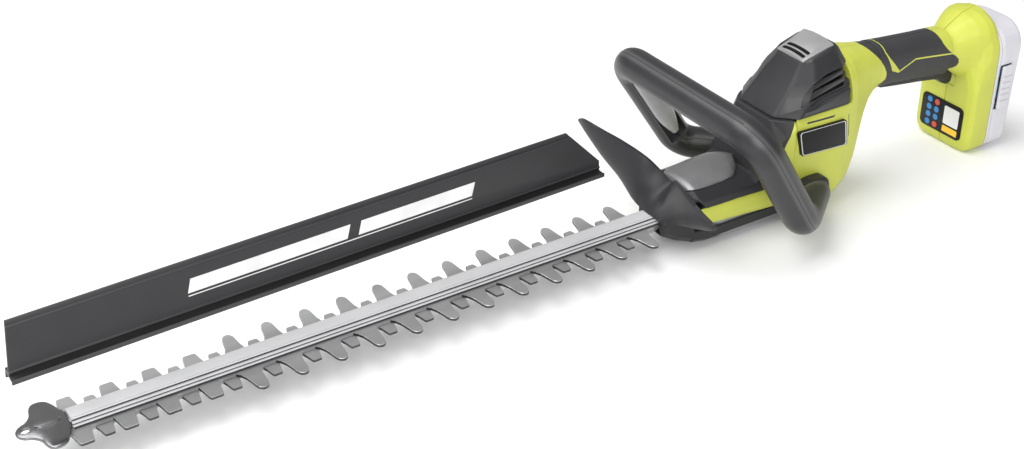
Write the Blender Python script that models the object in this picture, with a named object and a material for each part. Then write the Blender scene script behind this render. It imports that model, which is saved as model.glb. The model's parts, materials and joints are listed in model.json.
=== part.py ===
"""Cordless hedge trimmer with a lift-off debris panel, as separate pieces.

Design frame, in millimetres: X runs from the blade tip back to the battery, Y to the far
side, Z up. The datum is the root-most cutting tooth, with z = 0 on the underside of the
upper blade. Every object hangs from the empty "trimmer", which moves the datum so that the
finished tool stands on z = 0 with its box centred on the origin.
"""

import math

import bmesh
import bpy
from mathutils import Matrix, Vector

MM = 0.001
GAP = 0.3

# Overall placing
DATUM_X = 49.45
FLOOR_Z = -24.0

# Cutting blades
PITCH = 31.0
TOOTH_COUNT = 16
ROUND_TEETH = 12
BLADE_THICK = 2.2
BLADE_HALF = 12.0
BLADE_TIP_X = -474.0
BLADE_ROOT_X = 104.0
STROKE = 8.0

# Guide bar
BAR_TIP_X = -469.0
BAR_ROOT_X = 62.0
BAR_HALF = 10.6
BAR_LOW_Z = 2.5
BAR_TOP_Z = 9.0
CLAMP_X = 53.0
BOLT_XS = (-448.0, -331.0, -217.0, -103.0, 12.0)

# Crank drive
CRANK_X = 138.0
CRANK_THROW = 8.0
MODULE = 1.0
GEAR_TEETH = 50
PINION_TEETH = 10
MOTOR_X = CRANK_X + MODULE * (GEAR_TEETH + PINION_TEETH) / 2
MOTOR_R = 22.0
MOTOR_LOW_Z = 34.0
MOTOR_TOP_Z = 82.5
FAN_LOW_Z = 84.0

# Front loop handle
LOOP_LOW = Vector((113.0, 83.0, 12.0))
LOOP_TOP = Vector((54.0, 88.0, 105.0))
LOOP_ANCHOR = Vector((158.0, 46.0, 8.0))
LOOP_R = 13.5

# Rear handle and battery dock
GRIP_FRONT_X = 250.0
GRIP_REAR_X = 341.0
DOCK_FRONT_X = 357.0
DOCK_REAR_X = 378.0
PACK_REAR_X = 404.0
CELL_R = 9.1
PACK_LEAN = 0.045

# Hand guard
GUARD_REACH = 93.0
GUARD_ROLL = math.radians(4.0)

# Debris panel
PANEL_TIP_X = -501.5
PANEL_RAKE = 6.4
PANEL_ROOT_X = -32.0
PANEL_FOOT_Z = 51.0
PANEL_HEIGHT = 45.0
PANEL_PITCH = math.radians(1.45)

# Motor hood
HOOD_LOW_Z = 75.6
HOOD_REAR_X = 203.0


# ---------------------------------------------------------------- scene and materials

def clear_scene():
    for obj in list(bpy.data.objects):
        bpy.data.objects.remove(obj, do_unlink=True)


def material(name, colour, rough, metal=0.0, alpha=1.0):
    found = bpy.data.materials.get(name)
    if found:
        return found
    mat = bpy.data.materials.new(name)
    mat.use_nodes = True
    shader = mat.node_tree.nodes["Principled BSDF"]
    shader.inputs["Base Color"].default_value = (*colour, 1.0)
    shader.inputs["Roughness"].default_value = rough
    shader.inputs["Metallic"].default_value = metal
    shader.inputs["Alpha"].default_value = alpha
    mat.diffuse_color = (*colour, alpha)
    return mat


LIME = ("lime_shell", (0.58, 0.68, 0.06), 0.42)
DARK = ("dark_plastic", (0.065, 0.065, 0.068), 0.5)
GRIP = ("grip_rubber", (0.045, 0.045, 0.047), 0.75)
SILVER = ("silver_trim", (0.42, 0.43, 0.45), 0.35)
STEEL = ("blade_steel", (0.42, 0.43, 0.44), 0.35, 1.0)
BAR = ("bar_aluminium", (0.72, 0.73, 0.75), 0.3, 1.0)
DARK_STEEL = ("dark_steel", (0.16, 0.165, 0.17), 0.4, 1.0)
CAST = ("cast_alloy", (0.45, 0.45, 0.46), 0.55, 1.0)
COPPER = ("winding_copper", (0.55, 0.24, 0.1), 0.4, 1.0)
BRASS = ("contact_brass", (0.75, 0.55, 0.25), 0.35, 1.0)
PACK = ("pack_plastic", (0.72, 0.72, 0.75), 0.35)
CELL = ("cell_sleeve", (0.1, 0.3, 0.55), 0.4)
LABEL = ("label_black", (0.02, 0.02, 0.024), 0.35)


# ---------------------------------------------------------------- geometry helpers

def v(x, y, z):
    return Vector((x, y, z))


def mesh_from(bm, name):
    """Millimetre bmesh to a metre mesh, with its faces pointing out."""
    bmesh.ops.remove_doubles(bm, verts=bm.verts, dist=0.001)
    bmesh.ops.dissolve_degenerate(bm, edges=bm.edges, dist=0.0005)
    bmesh.ops.recalc_face_normals(bm, faces=bm.faces)
    for vert in bm.verts:
        vert.co *= MM
    mesh = bpy.data.meshes.new(name)
    bm.to_mesh(mesh)
    bm.free()
    return mesh


def add(name, bm, look=None, smooth=None):
    obj = bpy.data.objects.new(name, mesh_from(bm, name))
    bpy.context.scene.collection.objects.link(obj)
    if look:
        obj.data.materials.append(material(*look))
    if smooth is not None:
        obj.data.shade_smooth()
        obj.data.set_sharp_from_angle(angle=math.radians(smooth))
    return obj


def joined(obj, operation, *tools):
    """Applies Boolean operations with the tool objects, which are used up."""
    for tool in tools:
        modifier = obj.modifiers.new(operation.lower(), "BOOLEAN")
        modifier.operation = operation
        modifier.object = tool
        modifier.solver = "EXACT"
        graph = bpy.context.evaluated_depsgraph_get()
        mesh = bpy.data.meshes.new_from_object(obj.evaluated_get(graph))
        obj.modifiers.clear()
        old = obj.data
        obj.data = mesh
        bpy.data.meshes.remove(old)
        bpy.data.objects.remove(tool, do_unlink=True)
    return obj


def cut(obj, *tools):
    return joined(obj, "DIFFERENCE", *tools)


def unite(obj, *tools):
    return joined(obj, "UNION", *tools)


def keep(obj, *tools):
    return joined(obj, "INTERSECT", *tools)


def cleaned(obj, smallest=8):
    """Merges doubled points and drops the flat scraps that a Boolean can leave."""
    bm = bmesh.new()
    bm.from_mesh(obj.data)
    bmesh.ops.triangulate(bm, faces=bm.faces)
    bmesh.ops.remove_doubles(bm, verts=bm.verts, dist=0.003 * MM)
    bmesh.ops.dissolve_degenerate(bm, edges=bm.edges, dist=0.002 * MM)
    pairs = {}
    for face in bm.faces:
        pairs.setdefault(frozenset(face.verts), []).append(face)
    scraps = [face for group in pairs.values() if len(group) > 1 for face in group]
    left = set(bm.faces) - set(scraps)
    while left:
        island = [left.pop()]
        for face in island:
            near = {other for edge in face.edges for other in edge.link_faces} & left
            left -= near
            island += near
        if len(island) < smallest:
            scraps += island
    bmesh.ops.delete(bm, geom=scraps, context="FACES")
    rim = [edge for edge in bm.edges if edge.is_boundary]
    if rim:
        bmesh.ops.holes_fill(bm, edges=rim, sides=6)
    bm.to_mesh(obj.data)
    bm.free()
    return obj


def finish(obj, look, smooth=40):
    """Material and shading for an object that Booleans have made."""
    cleaned(obj)
    obj.data.materials.clear()
    obj.data.materials.append(material(*look))
    obj.data.shade_smooth()
    obj.data.set_sharp_from_angle(angle=math.radians(smooth))
    return obj


def loft(rings):
    """Closed solid through rings of points that all have the same count."""
    bm = bmesh.new()
    rows = [[bm.verts.new(p) for p in ring] for ring in rings]
    count = len(rows[0])
    for low, high in zip(rows, rows[1:]):
        for i in range(count):
            j = (i + 1) % count
            bm.faces.new((low[i], low[j], high[j], high[i]))
    bm.faces.new(rows[0][::-1])
    bm.faces.new(rows[-1])
    return bm


def prism(outline, axis, low, high):
    """A flat outline of (a, b) points, pushed along one axis.

    The outline lies in XY for axis z, in XZ for axis y and in YZ for axis x.
    """
    place = {
        "z": lambda a, b, t: v(a, b, t),
        "y": lambda a, b, t: v(a, t, b),
        "x": lambda a, b, t: v(t, a, b),
    }[axis]
    return loft([[place(a, b, t) for a, b in outline] for t in (low, high)])


def box(x0, x1, y0, y1, z0, z1):
    return prism([(x0, y0), (x1, y0), (x1, y1), (x0, y1)], "z", z0, z1)


def circle(radius, count, cx=0.0, cy=0.0, turn=0.0):
    step = 2 * math.pi / count
    return [
        (cx + radius * math.cos(turn + step * i), cy + radius * math.sin(turn + step * i))
        for i in range(count)
    ]


def cylinder(axis, radius, low, high, ca=0.0, cb=0.0, count=24):
    return prism(circle(radius, count, ca, cb), axis, low, high)


def rounded(a0, a1, b0, b1, r, steps=4):
    """Outline of a rectangle with round corners; r is one radius or four."""
    radii = r if isinstance(r, tuple) else (r,) * 4
    corners = ((a1, b1, 0), (a0, b1, 90), (a0, b0, 180), (a1, b0, 270))
    outline = []
    for (a, b, start), radius in zip(corners, radii):
        ca = a - radius if a == a1 else a + radius
        cb = b - radius if b == b1 else b + radius
        for i in range(steps + 1):
            angle = math.radians(start + 90 * i / steps)
            outline.append((ca + radius * math.cos(angle), cb + radius * math.sin(angle)))
    return outline


def oval(x, low, high, half, power, count=32):
    """Superellipse ring in the YZ plane at x."""
    mid, tall = (low + high) / 2, (high - low) / 2
    ring = []
    for i in range(count):
        angle = 2 * math.pi * (i + 0.5) / count
        c, s = math.cos(angle), math.sin(angle)
        ring.append(v(
            x,
            half * math.copysign(abs(c) ** (2 / power), c),
            mid + tall * math.copysign(abs(s) ** (2 / power), s),
        ))
    return ring


def oval_loft(stations, inset=0.0, count=32):
    """Loft through (x, low, high, half, power) stations, pulled in by inset."""
    return loft([
        oval(x, low + inset, high - inset, half - inset, power, count)
        for x, low, high, half, power in stations
    ])


def beveled(obj, width, segments=2, angle=35):
    """Bevels the edges sharper than the angle, in place."""
    bm = bmesh.new()
    bm.from_mesh(obj.data)
    edges = [e for e in bm.edges if e.is_manifold and e.calc_face_angle() > math.radians(angle)]
    bmesh.ops.bevel(bm, geom=edges, offset=width * MM, segments=segments, profile=0.5,
                    affect="EDGES", clamp_overlap=True)
    bm.to_mesh(obj.data)
    bm.free()
    return obj


def on_axis(obj, x, y, z):
    """Moves the origin of the object to a point and leaves the shape where it is."""
    place = v(x, y, z) * MM
    obj.data.transform(Matrix.Translation(-place))
    obj.location = place
    return obj


def mirrored(obj, name):
    """A copy of the object on the other side of y = 0."""
    mesh = obj.data.copy()
    mesh.transform(Matrix.Scale(-1, 4, (0, 1, 0)))
    mesh.flip_normals()
    twin = bpy.data.objects.new(name, mesh)
    bpy.context.scene.collection.objects.link(twin)
    twin.location = (obj.location.x, -obj.location.y, obj.location.z)
    return twin


# ---------------------------------------------------------------- blades and guide bar

def round_tooth(x, side):
    """Long raked tooth with a round tip; points run towards +X."""
    points = [(-11.0, 12.0), (-6.0, 20.0), (-3.6, 31.5), (-1.4, 35.6), (1.6, 36.6),
              (4.6, 34.6), (5.8, 30.0), (6.4, 21.0), (8.6, 12.0)]
    return [(x + a, side * b) for a, b in points]


def square_tooth(x, side):
    """Shorter wide tooth with a square end, near the blade tip."""
    points = [(-8.6, 12.0), (-5.6, 26.0), (-4.0, 28.0), (3.6, 28.0), (5.0, 25.8), (7.2, 12.0)]
    return [(x + a, side * b) for a, b in points]


def narrow_tooth(x, side):
    points = [(-6.4, 12.0), (-3.8, 22.6), (-2.8, 24.0), (2.9, 24.0), (3.8, 22.4), (6.2, 12.0)]
    return [(x + a, side * b) for a, b in points]


def blade_outline(kinds, shift):
    """Closed outline of a two-sided blade; kinds gives a tooth function per tooth."""
    near, far = [], []
    for i, kind in enumerate(kinds):
        x = -PITCH * i + shift
        near = kind(x, -1) + near
        far = kind(x, 1) + far
    tip = [(BLADE_TIP_X, far[0][1] - 3), (BLADE_TIP_X, near[0][1] + 3)]
    root = [(16.0, -BLADE_HALF), (24.0, -9.0), (BLADE_ROOT_X, -9.0),
            (BLADE_ROOT_X, 9.0), (24.0, 9.0), (16.0, BLADE_HALF)]
    return near + root + far[::-1] + tip


def slotted(blade, low, high):
    """Cuts a slot for each blade bolt; it clears the bolt sleeve over the stroke."""
    for x in BOLT_XS:
        slot = rounded(x - STROKE - 4.2, x + STROKE + 4.2, -4.2, 4.2, 4.1, 3)
        cut(blade, add("slot", prism(slot, "z", low - 1, high + 1)))
    return blade


def blades():
    kinds = [round_tooth if i < ROUND_TEETH else square_tooth for i in range(TOOTH_COUNT)]
    upper = add("upper_blade", prism(blade_outline(kinds, 0.0), "z", 0.0, BLADE_THICK))
    finish(slotted(upper, 0.0, BLADE_THICK), STEEL, 30)
    low, high = -GAP - BLADE_THICK, -GAP
    kinds = [narrow_tooth] * (TOOTH_COUNT - 1)
    outline = blade_outline(kinds, -PITCH / 2 + 1.0)
    lower = add("lower_blade", prism(outline, "z", low, high))
    finish(slotted(lower, low, high), STEEL, 30)


def bar_section(x):
    """Flat-topped bar with two stepped grooves on each slope."""
    half = [(BAR_HALF, BAR_LOW_Z), (BAR_HALF, 4.4), (8.9, 5.2), (8.9, 6.4), (7.2, 7.0),
            (7.2, 8.3), (5.6, BAR_TOP_Z)]
    return [v(x, y, z) for y, z in half] + [v(x, -y, z) for y, z in reversed(half)]


def guide_bar():
    bar = add("guide_bar", loft([bar_section(x) for x in (BAR_TIP_X, BAR_ROOT_X)]))
    cut(bar, add("rebate", box(BAR_TIP_X - 1, -441.5, -8.3, 8.3, 0, 7.0)))
    for x in BOLT_XS:
        cut(bar, add("hole", cylinder("z", 2.8, BAR_LOW_Z - 1, 7.6, x, 0.0, 16)))
    cut(bar, add("screw_hole", cylinder("z", 1.9, 4.0, 10.0, CLAMP_X, 0.0, 12)))
    finish(bar, BAR, 20)


def blade_bolts():
    """Shouldered bolts from below: head, sleeve through the blade slots, shank in the bar."""
    for number, x in enumerate(BOLT_XS, 1):
        profile = [(0.0, -6.4), (5.4, -6.4), (6.4, -5.6), (6.4, -3.0), (3.8, -3.0),
                   (3.8, BAR_LOW_Z - GAP), (2.4, BAR_LOW_Z - GAP), (2.4, 7.0), (0.0, 7.0)]
        if number == 1:
            profile[5], profile[6], profile[7] = (3.8, 3.9), (2.4, 3.9), (2.4, 6.9)
        rings = [circle(max(r, 0.01), 16) for r, _ in profile]
        rings = [[v(x + a, b, z) for a, b in ring] for ring, (_, z) in zip(rings, profile)]
        add(f"blade_bolt_{number}", loft(rings[1:-1]), DARK_STEEL, 40)


def tip_guard():
    """Pressed plate past the blade tip, with a tongue in a rebate under the bar."""
    half = [(-442.0, 8.0), (-469.5, 8.0), (-471.8, 12.0), (-474.5, 20.0), (-478.0, 25.5),
            (-482.5, 27.6), (-487.5, 27.0), (-490.5, 22.0), (-492.5, 14.5), (-496.5, 9.5),
            (-502.5, 7.0), (-505.4, 3.0)]
    outline = half + [(x, -y) for x, y in reversed(half)]
    plate = add("tip_guard", prism(outline, "z", 4.2, 6.7))
    rib = rounded(-489.0, -473.0, -3.5, 3.5, 3.4, 3)
    unite(plate, add("rib", prism(rib, "z", 6.0, 8.4)))
    cut(plate, add("hole", cylinder("z", 3.6, 0, 12, -498.6, 0.0, 20)))
    cut(plate, add("bolt_way", cylinder("z", 2.7, 0, 12, BOLT_XS[0], 0.0, 16)))
    finish(plate, DARK_STEEL, 30)


# ---------------------------------------------------------------- crank drive

def gear_outline(teeth, radius, depth, phase):
    """Straight-flanked gear outline; tooth 0 is centred on the phase angle."""
    outline = []
    step = 2 * math.pi / teeth
    for i in range(teeth):
        mid = phase + step * i
        for share, r in ((-0.36, radius - depth * 0.56), (-0.13, radius + depth * 0.38),
                         (0.13, radius + depth * 0.38), (0.36, radius - depth * 0.56)):
            outline.append((r * math.cos(mid + share * step), r * math.sin(mid + share * step)))
    return outline


def crank_drive():
    """Gear, two-throw crank and the yokes that the crank pins push to and fro."""
    depth = 2.0 * MODULE
    radius = MODULE * GEAR_TEETH / 2
    teeth = [(CRANK_X + a, b) for a, b in gear_outline(GEAR_TEETH, radius, depth, 0.0)]
    gear = add("drive_gear", prism(teeth, "z", 12.0, 19.0))
    cut(gear, add("bore", cylinder("z", 4.3, 10, 21, CRANK_X, 0, 24)))
    for i in range(5):
        angle = math.radians(36 + 72 * i)
        x, y = CRANK_X + 14.5 * math.cos(angle), 14.5 * math.sin(angle)
        cut(gear, add("web_hole", cylinder("z", 4.5, 10, 21, x, y, 16)))
    on_axis(finish(gear, DARK_STEEL, 30), CRANK_X, 0, 0)

    crank = add("crankshaft", cylinder("z", 4.0, -15.5, 27.0, CRANK_X, 0, 24))
    unite(crank, add("web", cylinder("z", 12.0, 7.2, 10.4, CRANK_X, 0, 32)))
    unite(crank, add("web", cylinder("z", 12.0, -2.4, 2.1, CRANK_X, 0, 32)))
    unite(crank, add("pin", cylinder("z", 3.4, 1.0, 8.0, CRANK_X, CRANK_THROW, 20)))
    unite(crank, add("pin", cylinder("z", 3.4, -6.9, -1.5, CRANK_X, -CRANK_THROW, 20)))
    on_axis(finish(crank, STEEL), CRANK_X, 0, 0)

    window = (CRANK_THROW + 3.4) + 0.6
    for name, low, high in (("upper_yoke", 2.5, 6.6), ("lower_yoke", -6.8, -2.8)):
        outline = rounded(CRANK_X - window - STROKE - 6, CRANK_X + window + STROKE + 4,
                          -window - 5, window + 5, 8, 4)
        yoke = add(name, prism(outline, "z", low, high))
        unite(yoke, add("arm", box(80.0, CRANK_X - window - STROKE - 2, -8, 8, low, high)))
        slot = rounded(CRANK_X - window - STROKE, CRANK_X + window + STROKE,
                       -window, window, 6, 4)
        cut(yoke, add("slot", prism(slot, "z", low - 1, high + 1)))
        finish(yoke, STEEL)

    for name, low in (("crank_bearing_lower", -15.0), ("crank_bearing_upper", 21.0)):
        race = add(name, cylinder("z", 9.0, low, low + 5.5, CRANK_X, 0, 32))
        cut(race, add("bore", cylinder("z", 4.3, low - 1, low + 7, CRANK_X, 0, 24)))
        finish(race, CAST)


def motor():
    can = add("motor_can", cylinder("z", MOTOR_R, MOTOR_LOW_Z, MOTOR_TOP_Z, MOTOR_X, 0, 40))
    cut(can, add("hollow", cylinder("z", MOTOR_R - 1.6, MOTOR_LOW_Z + 2, MOTOR_TOP_Z - 2,
                                    MOTOR_X, 0, 40)))
    cut(can, add("shaft_way", cylinder("z", 5.5, 30.0, 102.0, MOTOR_X, 0, 24)))
    for side in (-1, 1):
        cut(can, add("window", box(MOTOR_X - 7, MOTOR_X + 7, side * 14, side * 26, 70, 80)))
    finish(can, CAST)

    rotor = add("motor_rotor", cylinder("z", 2.5, 9.0, 94.0, MOTOR_X, 0, 20))
    unite(rotor, add("core", cylinder("z", 17.0, 40.0, 66.0, MOTOR_X, 0, 32)))
    unite(rotor, add("commutator", cylinder("z", 8.0, 65.0, 79.0, MOTOR_X, 0, 24)))
    on_axis(finish(rotor, COPPER), MOTOR_X, 0, 0)

    depth = 2.0 * MODULE
    phase = math.pi + math.pi / PINION_TEETH
    teeth = gear_outline(PINION_TEETH, MODULE * PINION_TEETH / 2, depth, phase)
    pinion = add("motor_pinion",
                 prism([(MOTOR_X + a, b) for a, b in teeth], "z", 11.0, 20.0))
    cut(pinion, add("bore", cylinder("z", 2.8, 9, 22, MOTOR_X, 0, 20)))
    on_axis(finish(pinion, STEEL, 30), MOTOR_X, 0, 0)

    fan = add("cooling_fan", cylinder("z", 7.0, FAN_LOW_Z, FAN_LOW_Z + 6, MOTOR_X, 0, 24))
    for i in range(8):
        blade = box(5.5, 17.0, -0.8, 0.8, FAN_LOW_Z + 0.4, FAN_LOW_Z + 5.6)
        bmesh.ops.rotate(blade, verts=blade.verts, cent=v(0, 0, 0),
                         matrix=Matrix.Rotation(math.radians(45 * i + 11), 3, "Z"))
        bmesh.ops.translate(blade, verts=blade.verts, vec=v(MOTOR_X, 0, 0))
        unite(fan, add("blade", blade))
    cut(fan, add("bore", cylinder("z", 2.8, FAN_LOW_Z - 1, FAN_LOW_Z + 7, MOTOR_X, 0, 20)))
    on_axis(finish(fan, DARK), MOTOR_X, 0, 0)


def gear_case():
    """Cast tray and lid round the crank; the blades and the bar enter at the front."""
    tray = add("gear_case", prism(rounded(66, 176, -27, 27, 10), "z", -17.0, 10.6))
    cut(tray, add("hollow", prism(rounded(69, 173, -24.6, 24.6, 8), "z", -9.0, 12)))
    cut(tray, add("mouth", box(60, 72, -12.4, 12.4, -7.4, 8.9)))
    unite(tray, add("tongue", box(44.0, 67.0, -8.0, 8.0, 9.3, 12.3)))
    cut(tray, add("bearing_seat", cylinder("z", 9.3, -15.3, -8, CRANK_X, 0, 32)))
    cut(tray, add("shaft_end", cylinder("z", 4.5, -18, -8, CRANK_X, 0, 20)))
    cut(tray, add("screw_hole", cylinder("z", 2.2, 8, 14, CLAMP_X, 0, 12)))
    finish(tray, CAST)
    screw = add("bar_clamp_screw", cylinder("z", 4.0, 12.6, 15.2, CLAMP_X, 0, 16))
    unite(screw, add("shank", cylinder("z", 1.6, 4.3, 13.0, CLAMP_X, 0, 12)))
    finish(screw, DARK_STEEL)
    lid = add("gear_case_lid", prism(rounded(66, 182, -28.8, 28.8, 10), "z", 12.6, 23.0))
    cut(lid, add("gear_room", cylinder("z", 26.8, 10, 20.6, CRANK_X, 0, 48)))
    cut(lid, add("pinion_room", cylinder("z", 7.0, 10, 24, MOTOR_X, 0, 24)))
    unite(lid, add("boss", cylinder("z", 12.5, 20.7, 28.0, CRANK_X, 0, 32)))
    cut(lid, add("bearing_seat", cylinder("z", 9.3, 20, 26.8, CRANK_X, 0, 32)))
    cut(lid, add("vent", cylinder("z", 4.5, 20, 30, CRANK_X, 0, 20)))
    finish(lid, CAST)


# ---------------------------------------------------------------- body shells

BODY = (
    # x, low, top, half width, power of the superellipse
    (48.0, -3.0, 21.0, 28.5, 3.4), (51.0, -5.0, 23.0, 31.0, 3.6), (90.0, -7.0, 23.0, 32.0, 3.6),
    (122.0, -9.0, 24.0, 33.0, 3.6), (133.0, -11.0, 48.0, 34.8, 3.8),
    (143.0, -14.0, 86.0, 38.0, 4.0), (165.0, -17.0, 89.0, 38.5, 4.0),
    (190.0, -19.0, 92.0, 38.0, 4.0), (197.0, -19.5, 99.0, 37.0, 3.8),
    (204.0, -19.0, 109.0, 35.0, 3.5), (211.0, -16.0, 110.0, 33.0, 3.3),
    (217.5, -7.0, 109.5, 30.0, 3.1), (222.5, 12.0, 109.0, 27.5, 2.9),
    (228.0, 33.0, 108.0, 25.0, 2.7), (235.0, 50.0, 106.8, 22.3, 2.6),
    (243.0, 59.5, 105.5, 20.2, 2.5), (GRIP_FRONT_X, 62.5, 104.6, 18.8, 2.4),
)
CORE = (
    (GRIP_FRONT_X, 65.2, 102.0, 16.2, 2.4), (270.0, 65.0, 99.8, 15.4, 2.4),
    (305.0, 61.0, 96.6, 15.0, 2.4), (GRIP_REAR_X, 56.0, 94.0, 15.8, 2.4),
)
CHEEK = (
    (333.0, 62.0, 92.5, 13.0, 2.2), (341.5, 57.0, 96.5, 17.5, 2.3),
    (347.0, 53.0, 100.0, 20.5, 2.4), (353.0, 50.0, 103.5, 23.5, 2.5),
    (360.0, 46.0, 107.0, 27.5, 2.6), (368.0, 44.0, 109.0, 31.0, 2.7),
    (374.0, 43.0, 109.0, 32.0, 2.7), (DOCK_REAR_X, 42.0, 107.0, 31.5, 2.7),
)
DOCK = (
    # x, inset, how far the crown is drawn in
    (DOCK_FRONT_X - 2.0, 9.0, 13.0), (DOCK_FRONT_X - 0.5, 4.0, 12.0),
    (DOCK_FRONT_X + 2.5, 0.6, 8.0), (DOCK_FRONT_X + 7.0, 0.0, 4.0),
    (DOCK_FRONT_X + 13.0, 0.0, 0.5), (DOCK_REAR_X, 0.0, 0.0),
)


def dock_ring(x, inset, crown):
    """Upright rounded slab whose top is a half circle, narrower by the crown value."""
    half = 34.5 - inset
    low = FLOOR_Z + inset
    outline = [(half, 42.0), (half - crown * 0.5, 58.0)]
    outline += [
        ((half - crown) * math.cos(math.radians(a)),
         72.0 + (38.0 - inset - crown) * math.sin(math.radians(a)))
        for a in range(0, 181, 15)
    ]
    outline += [(-half + crown * 0.5, 58.0), (-half, 42.0)]
    for side, start in ((-1, 180), (1, 270)):
        outline += [
            (side * (half - 13) + 13 * math.cos(math.radians(a)),
             low + 13 + 13 * math.sin(math.radians(a)))
            for a in range(start, start + 91, 18)
        ]
    return [v(x, y, z) for y, z in outline]


def body_solid(inset):
    """Whole body, neck, grip core and dock as one solid, pulled in by inset."""
    hollow = inset > 0
    stations = list(BODY)
    if hollow:
        stations[-1] = (GRIP_FRONT_X - 2.4, *BODY[-1][1:])
    solid = add("body", oval_loft(stations, inset))
    core = [list(s) for s in CORE]
    core[0][0] -= 8.0
    core[-1][0] += 5.0
    unite(solid, add("core", oval_loft(core, inset * 0.75)))
    unite(solid, add("cheek", oval_loft(CHEEK, inset)))
    skins = [(x, inset + more, crown) for x, more, crown in DOCK]
    if hollow:
        skins = [(x + 3.5, *rest) for x, *rest in skins[:-1]] + [(DOCK_REAR_X + 4, inset, 0.0)]
    unite(solid, add("slab", loft([dock_ring(*skin) for skin in skins])))
    return solid


def body_shells():
    """Two clam shells that meet on y = 0, open at the motor, the gear case and the dock."""
    whole = body_solid(0.0)
    cut(whole, add("seat", box(126, HOOD_REAR_X + 0.3, -60, 60, HOOD_LOW_Z - 0.3, 140)))
    inner = body_solid(2.6)
    cut(inner, add("bulkhead", box(HOOD_REAR_X + 0.2, HOOD_REAR_X + 3.2, -60, 60, 66, 140)))
    cut(whole, inner)
    # the gear case, the motor and the trigger pass through these openings
    cut(whole, add("gear_way", box(40, 126, -29.5, 29.5, -30, 40)))
    cut(whole, add("case_way", prism(rounded(100, 184.5, -29.5, 29.5, 10), "z", -30, 33)))
    cut(whole, add("motor_way", prism(rounded(128, 194.0, -33, 33, 12), "z", 60, 120)))
    cut(whole, add("trigger_way", box(256, 356.0, -8.6, 8.6, 38, 79)))
    far = whole.copy()
    far.data = whole.data.copy()
    bpy.context.scene.collection.objects.link(far)
    whole.name, far.name = "body_shell_near", "body_shell_far"
    keep(whole, add("near_half", box(30, 420, -60, -GAP / 2, -60, 160)))
    keep(far, add("far_half", box(30, 420, GAP / 2, 60, -60, 160)))
    finish(whole, LIME)
    finish(far, LIME)


# ---------------------------------------------------------------- covers

TOWER = (
    # z, front x, rear x, half width, front chamfer, rear chamfer, lean
    (HOOD_LOW_Z, 126.5, HOOD_REAR_X, 37.4, 16.0, 6.0, 0.0),
    (92.0, 138.5, HOOD_REAR_X, 34.8, 15.0, 7.0, 0.1),
    (106.0, 148.5, 201.0, 30.2, 12.5, 8.0, 0.2),
    (115.5, 155.5, 197.0, 24.3, 9.5, 8.0, 0.3),
    (120.4, 159.0, 192.5, 21.0, 7.0, 7.0, 0.3),
)


def tower_ring(z, front, rear, half, nose, heel, lean, inset=0.0):
    """Eight-cornered ring; lean raises its rear."""
    front, rear, half = front + inset, rear - inset, half - inset
    corners = [(front, -half + nose), (front + nose, -half), (rear - heel, -half),
               (rear, -half + heel), (rear, half - heel), (rear - heel, half),
               (front + nose, half), (front, half - nose)]
    return [v(x, y, z + lean * (x - 175.0)) for x, y in corners]


def motor_cover():
    """Faceted hood over the motor, with side vents and a recess for the cap."""
    hood = add("motor_cover", loft([tower_ring(*row) for row in TOWER]))
    beveled(hood, 2.2, 2, 25)
    inner = [tower_ring(*row, inset=3.4) for row in TOWER[:3]]
    drop = [[p - v(0, 0, 3.0) for p in ring] for ring in inner]
    base = [p - v(0, 0, 12.0) for p in drop[0]]
    cut(hood, add("hollow", loft([base] + drop)))
    for side in (-1, 1):
        for row in range(3):
            slot = box(166 + 2 * row, 196 - row, side * 30, side * 45, 103 - 8 * row, 106 - 8 * row)
            bmesh.ops.rotate(slot, verts=slot.verts, cent=v(180, 0, 95),
                             matrix=Matrix.Rotation(math.radians(-14), 3, "Y"))
            cut(hood, add("vent", slot))
    recess = [(158.5, -16.5), (190.0, -19.0), (190.0, 19.0), (158.5, 16.5)]
    pocket = loft([[v(x, y, 119.6 + lift + 0.3 * (x - 175.0)) for x, y in recess]
                   for lift in (0.0, 9.0)])
    cut(hood, add("pocket", pocket))
    finish(hood, DARK, 25)


def motor_cap():
    """Light plate that crowns the hood, with two air slots across its front."""
    rings = []
    for i in range(9):
        y = -1 + i / 4
        lift = 1.9 * (1 - y * y)
        ring = []
        for x, half, base in ((159.4, 16.0, 0.0), (189.2, 18.4, 0.0), (189.2, 18.4, 1.7 + lift),
                              (159.4, 16.0, 1.3 + lift)):
            ring.append(v(x, half * y, 119.9 + 0.3 * (x - 175.0) + base))
        rings.append(ring)
    cap = add("motor_cap", loft(rings))
    for x in (162.5, 166.6):
        way = box(x, x + 2.2, -12.8, 12.8, 105, 130)
        cut(cap, add("slot", way))
    finish(cap, SILVER, 30)


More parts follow.
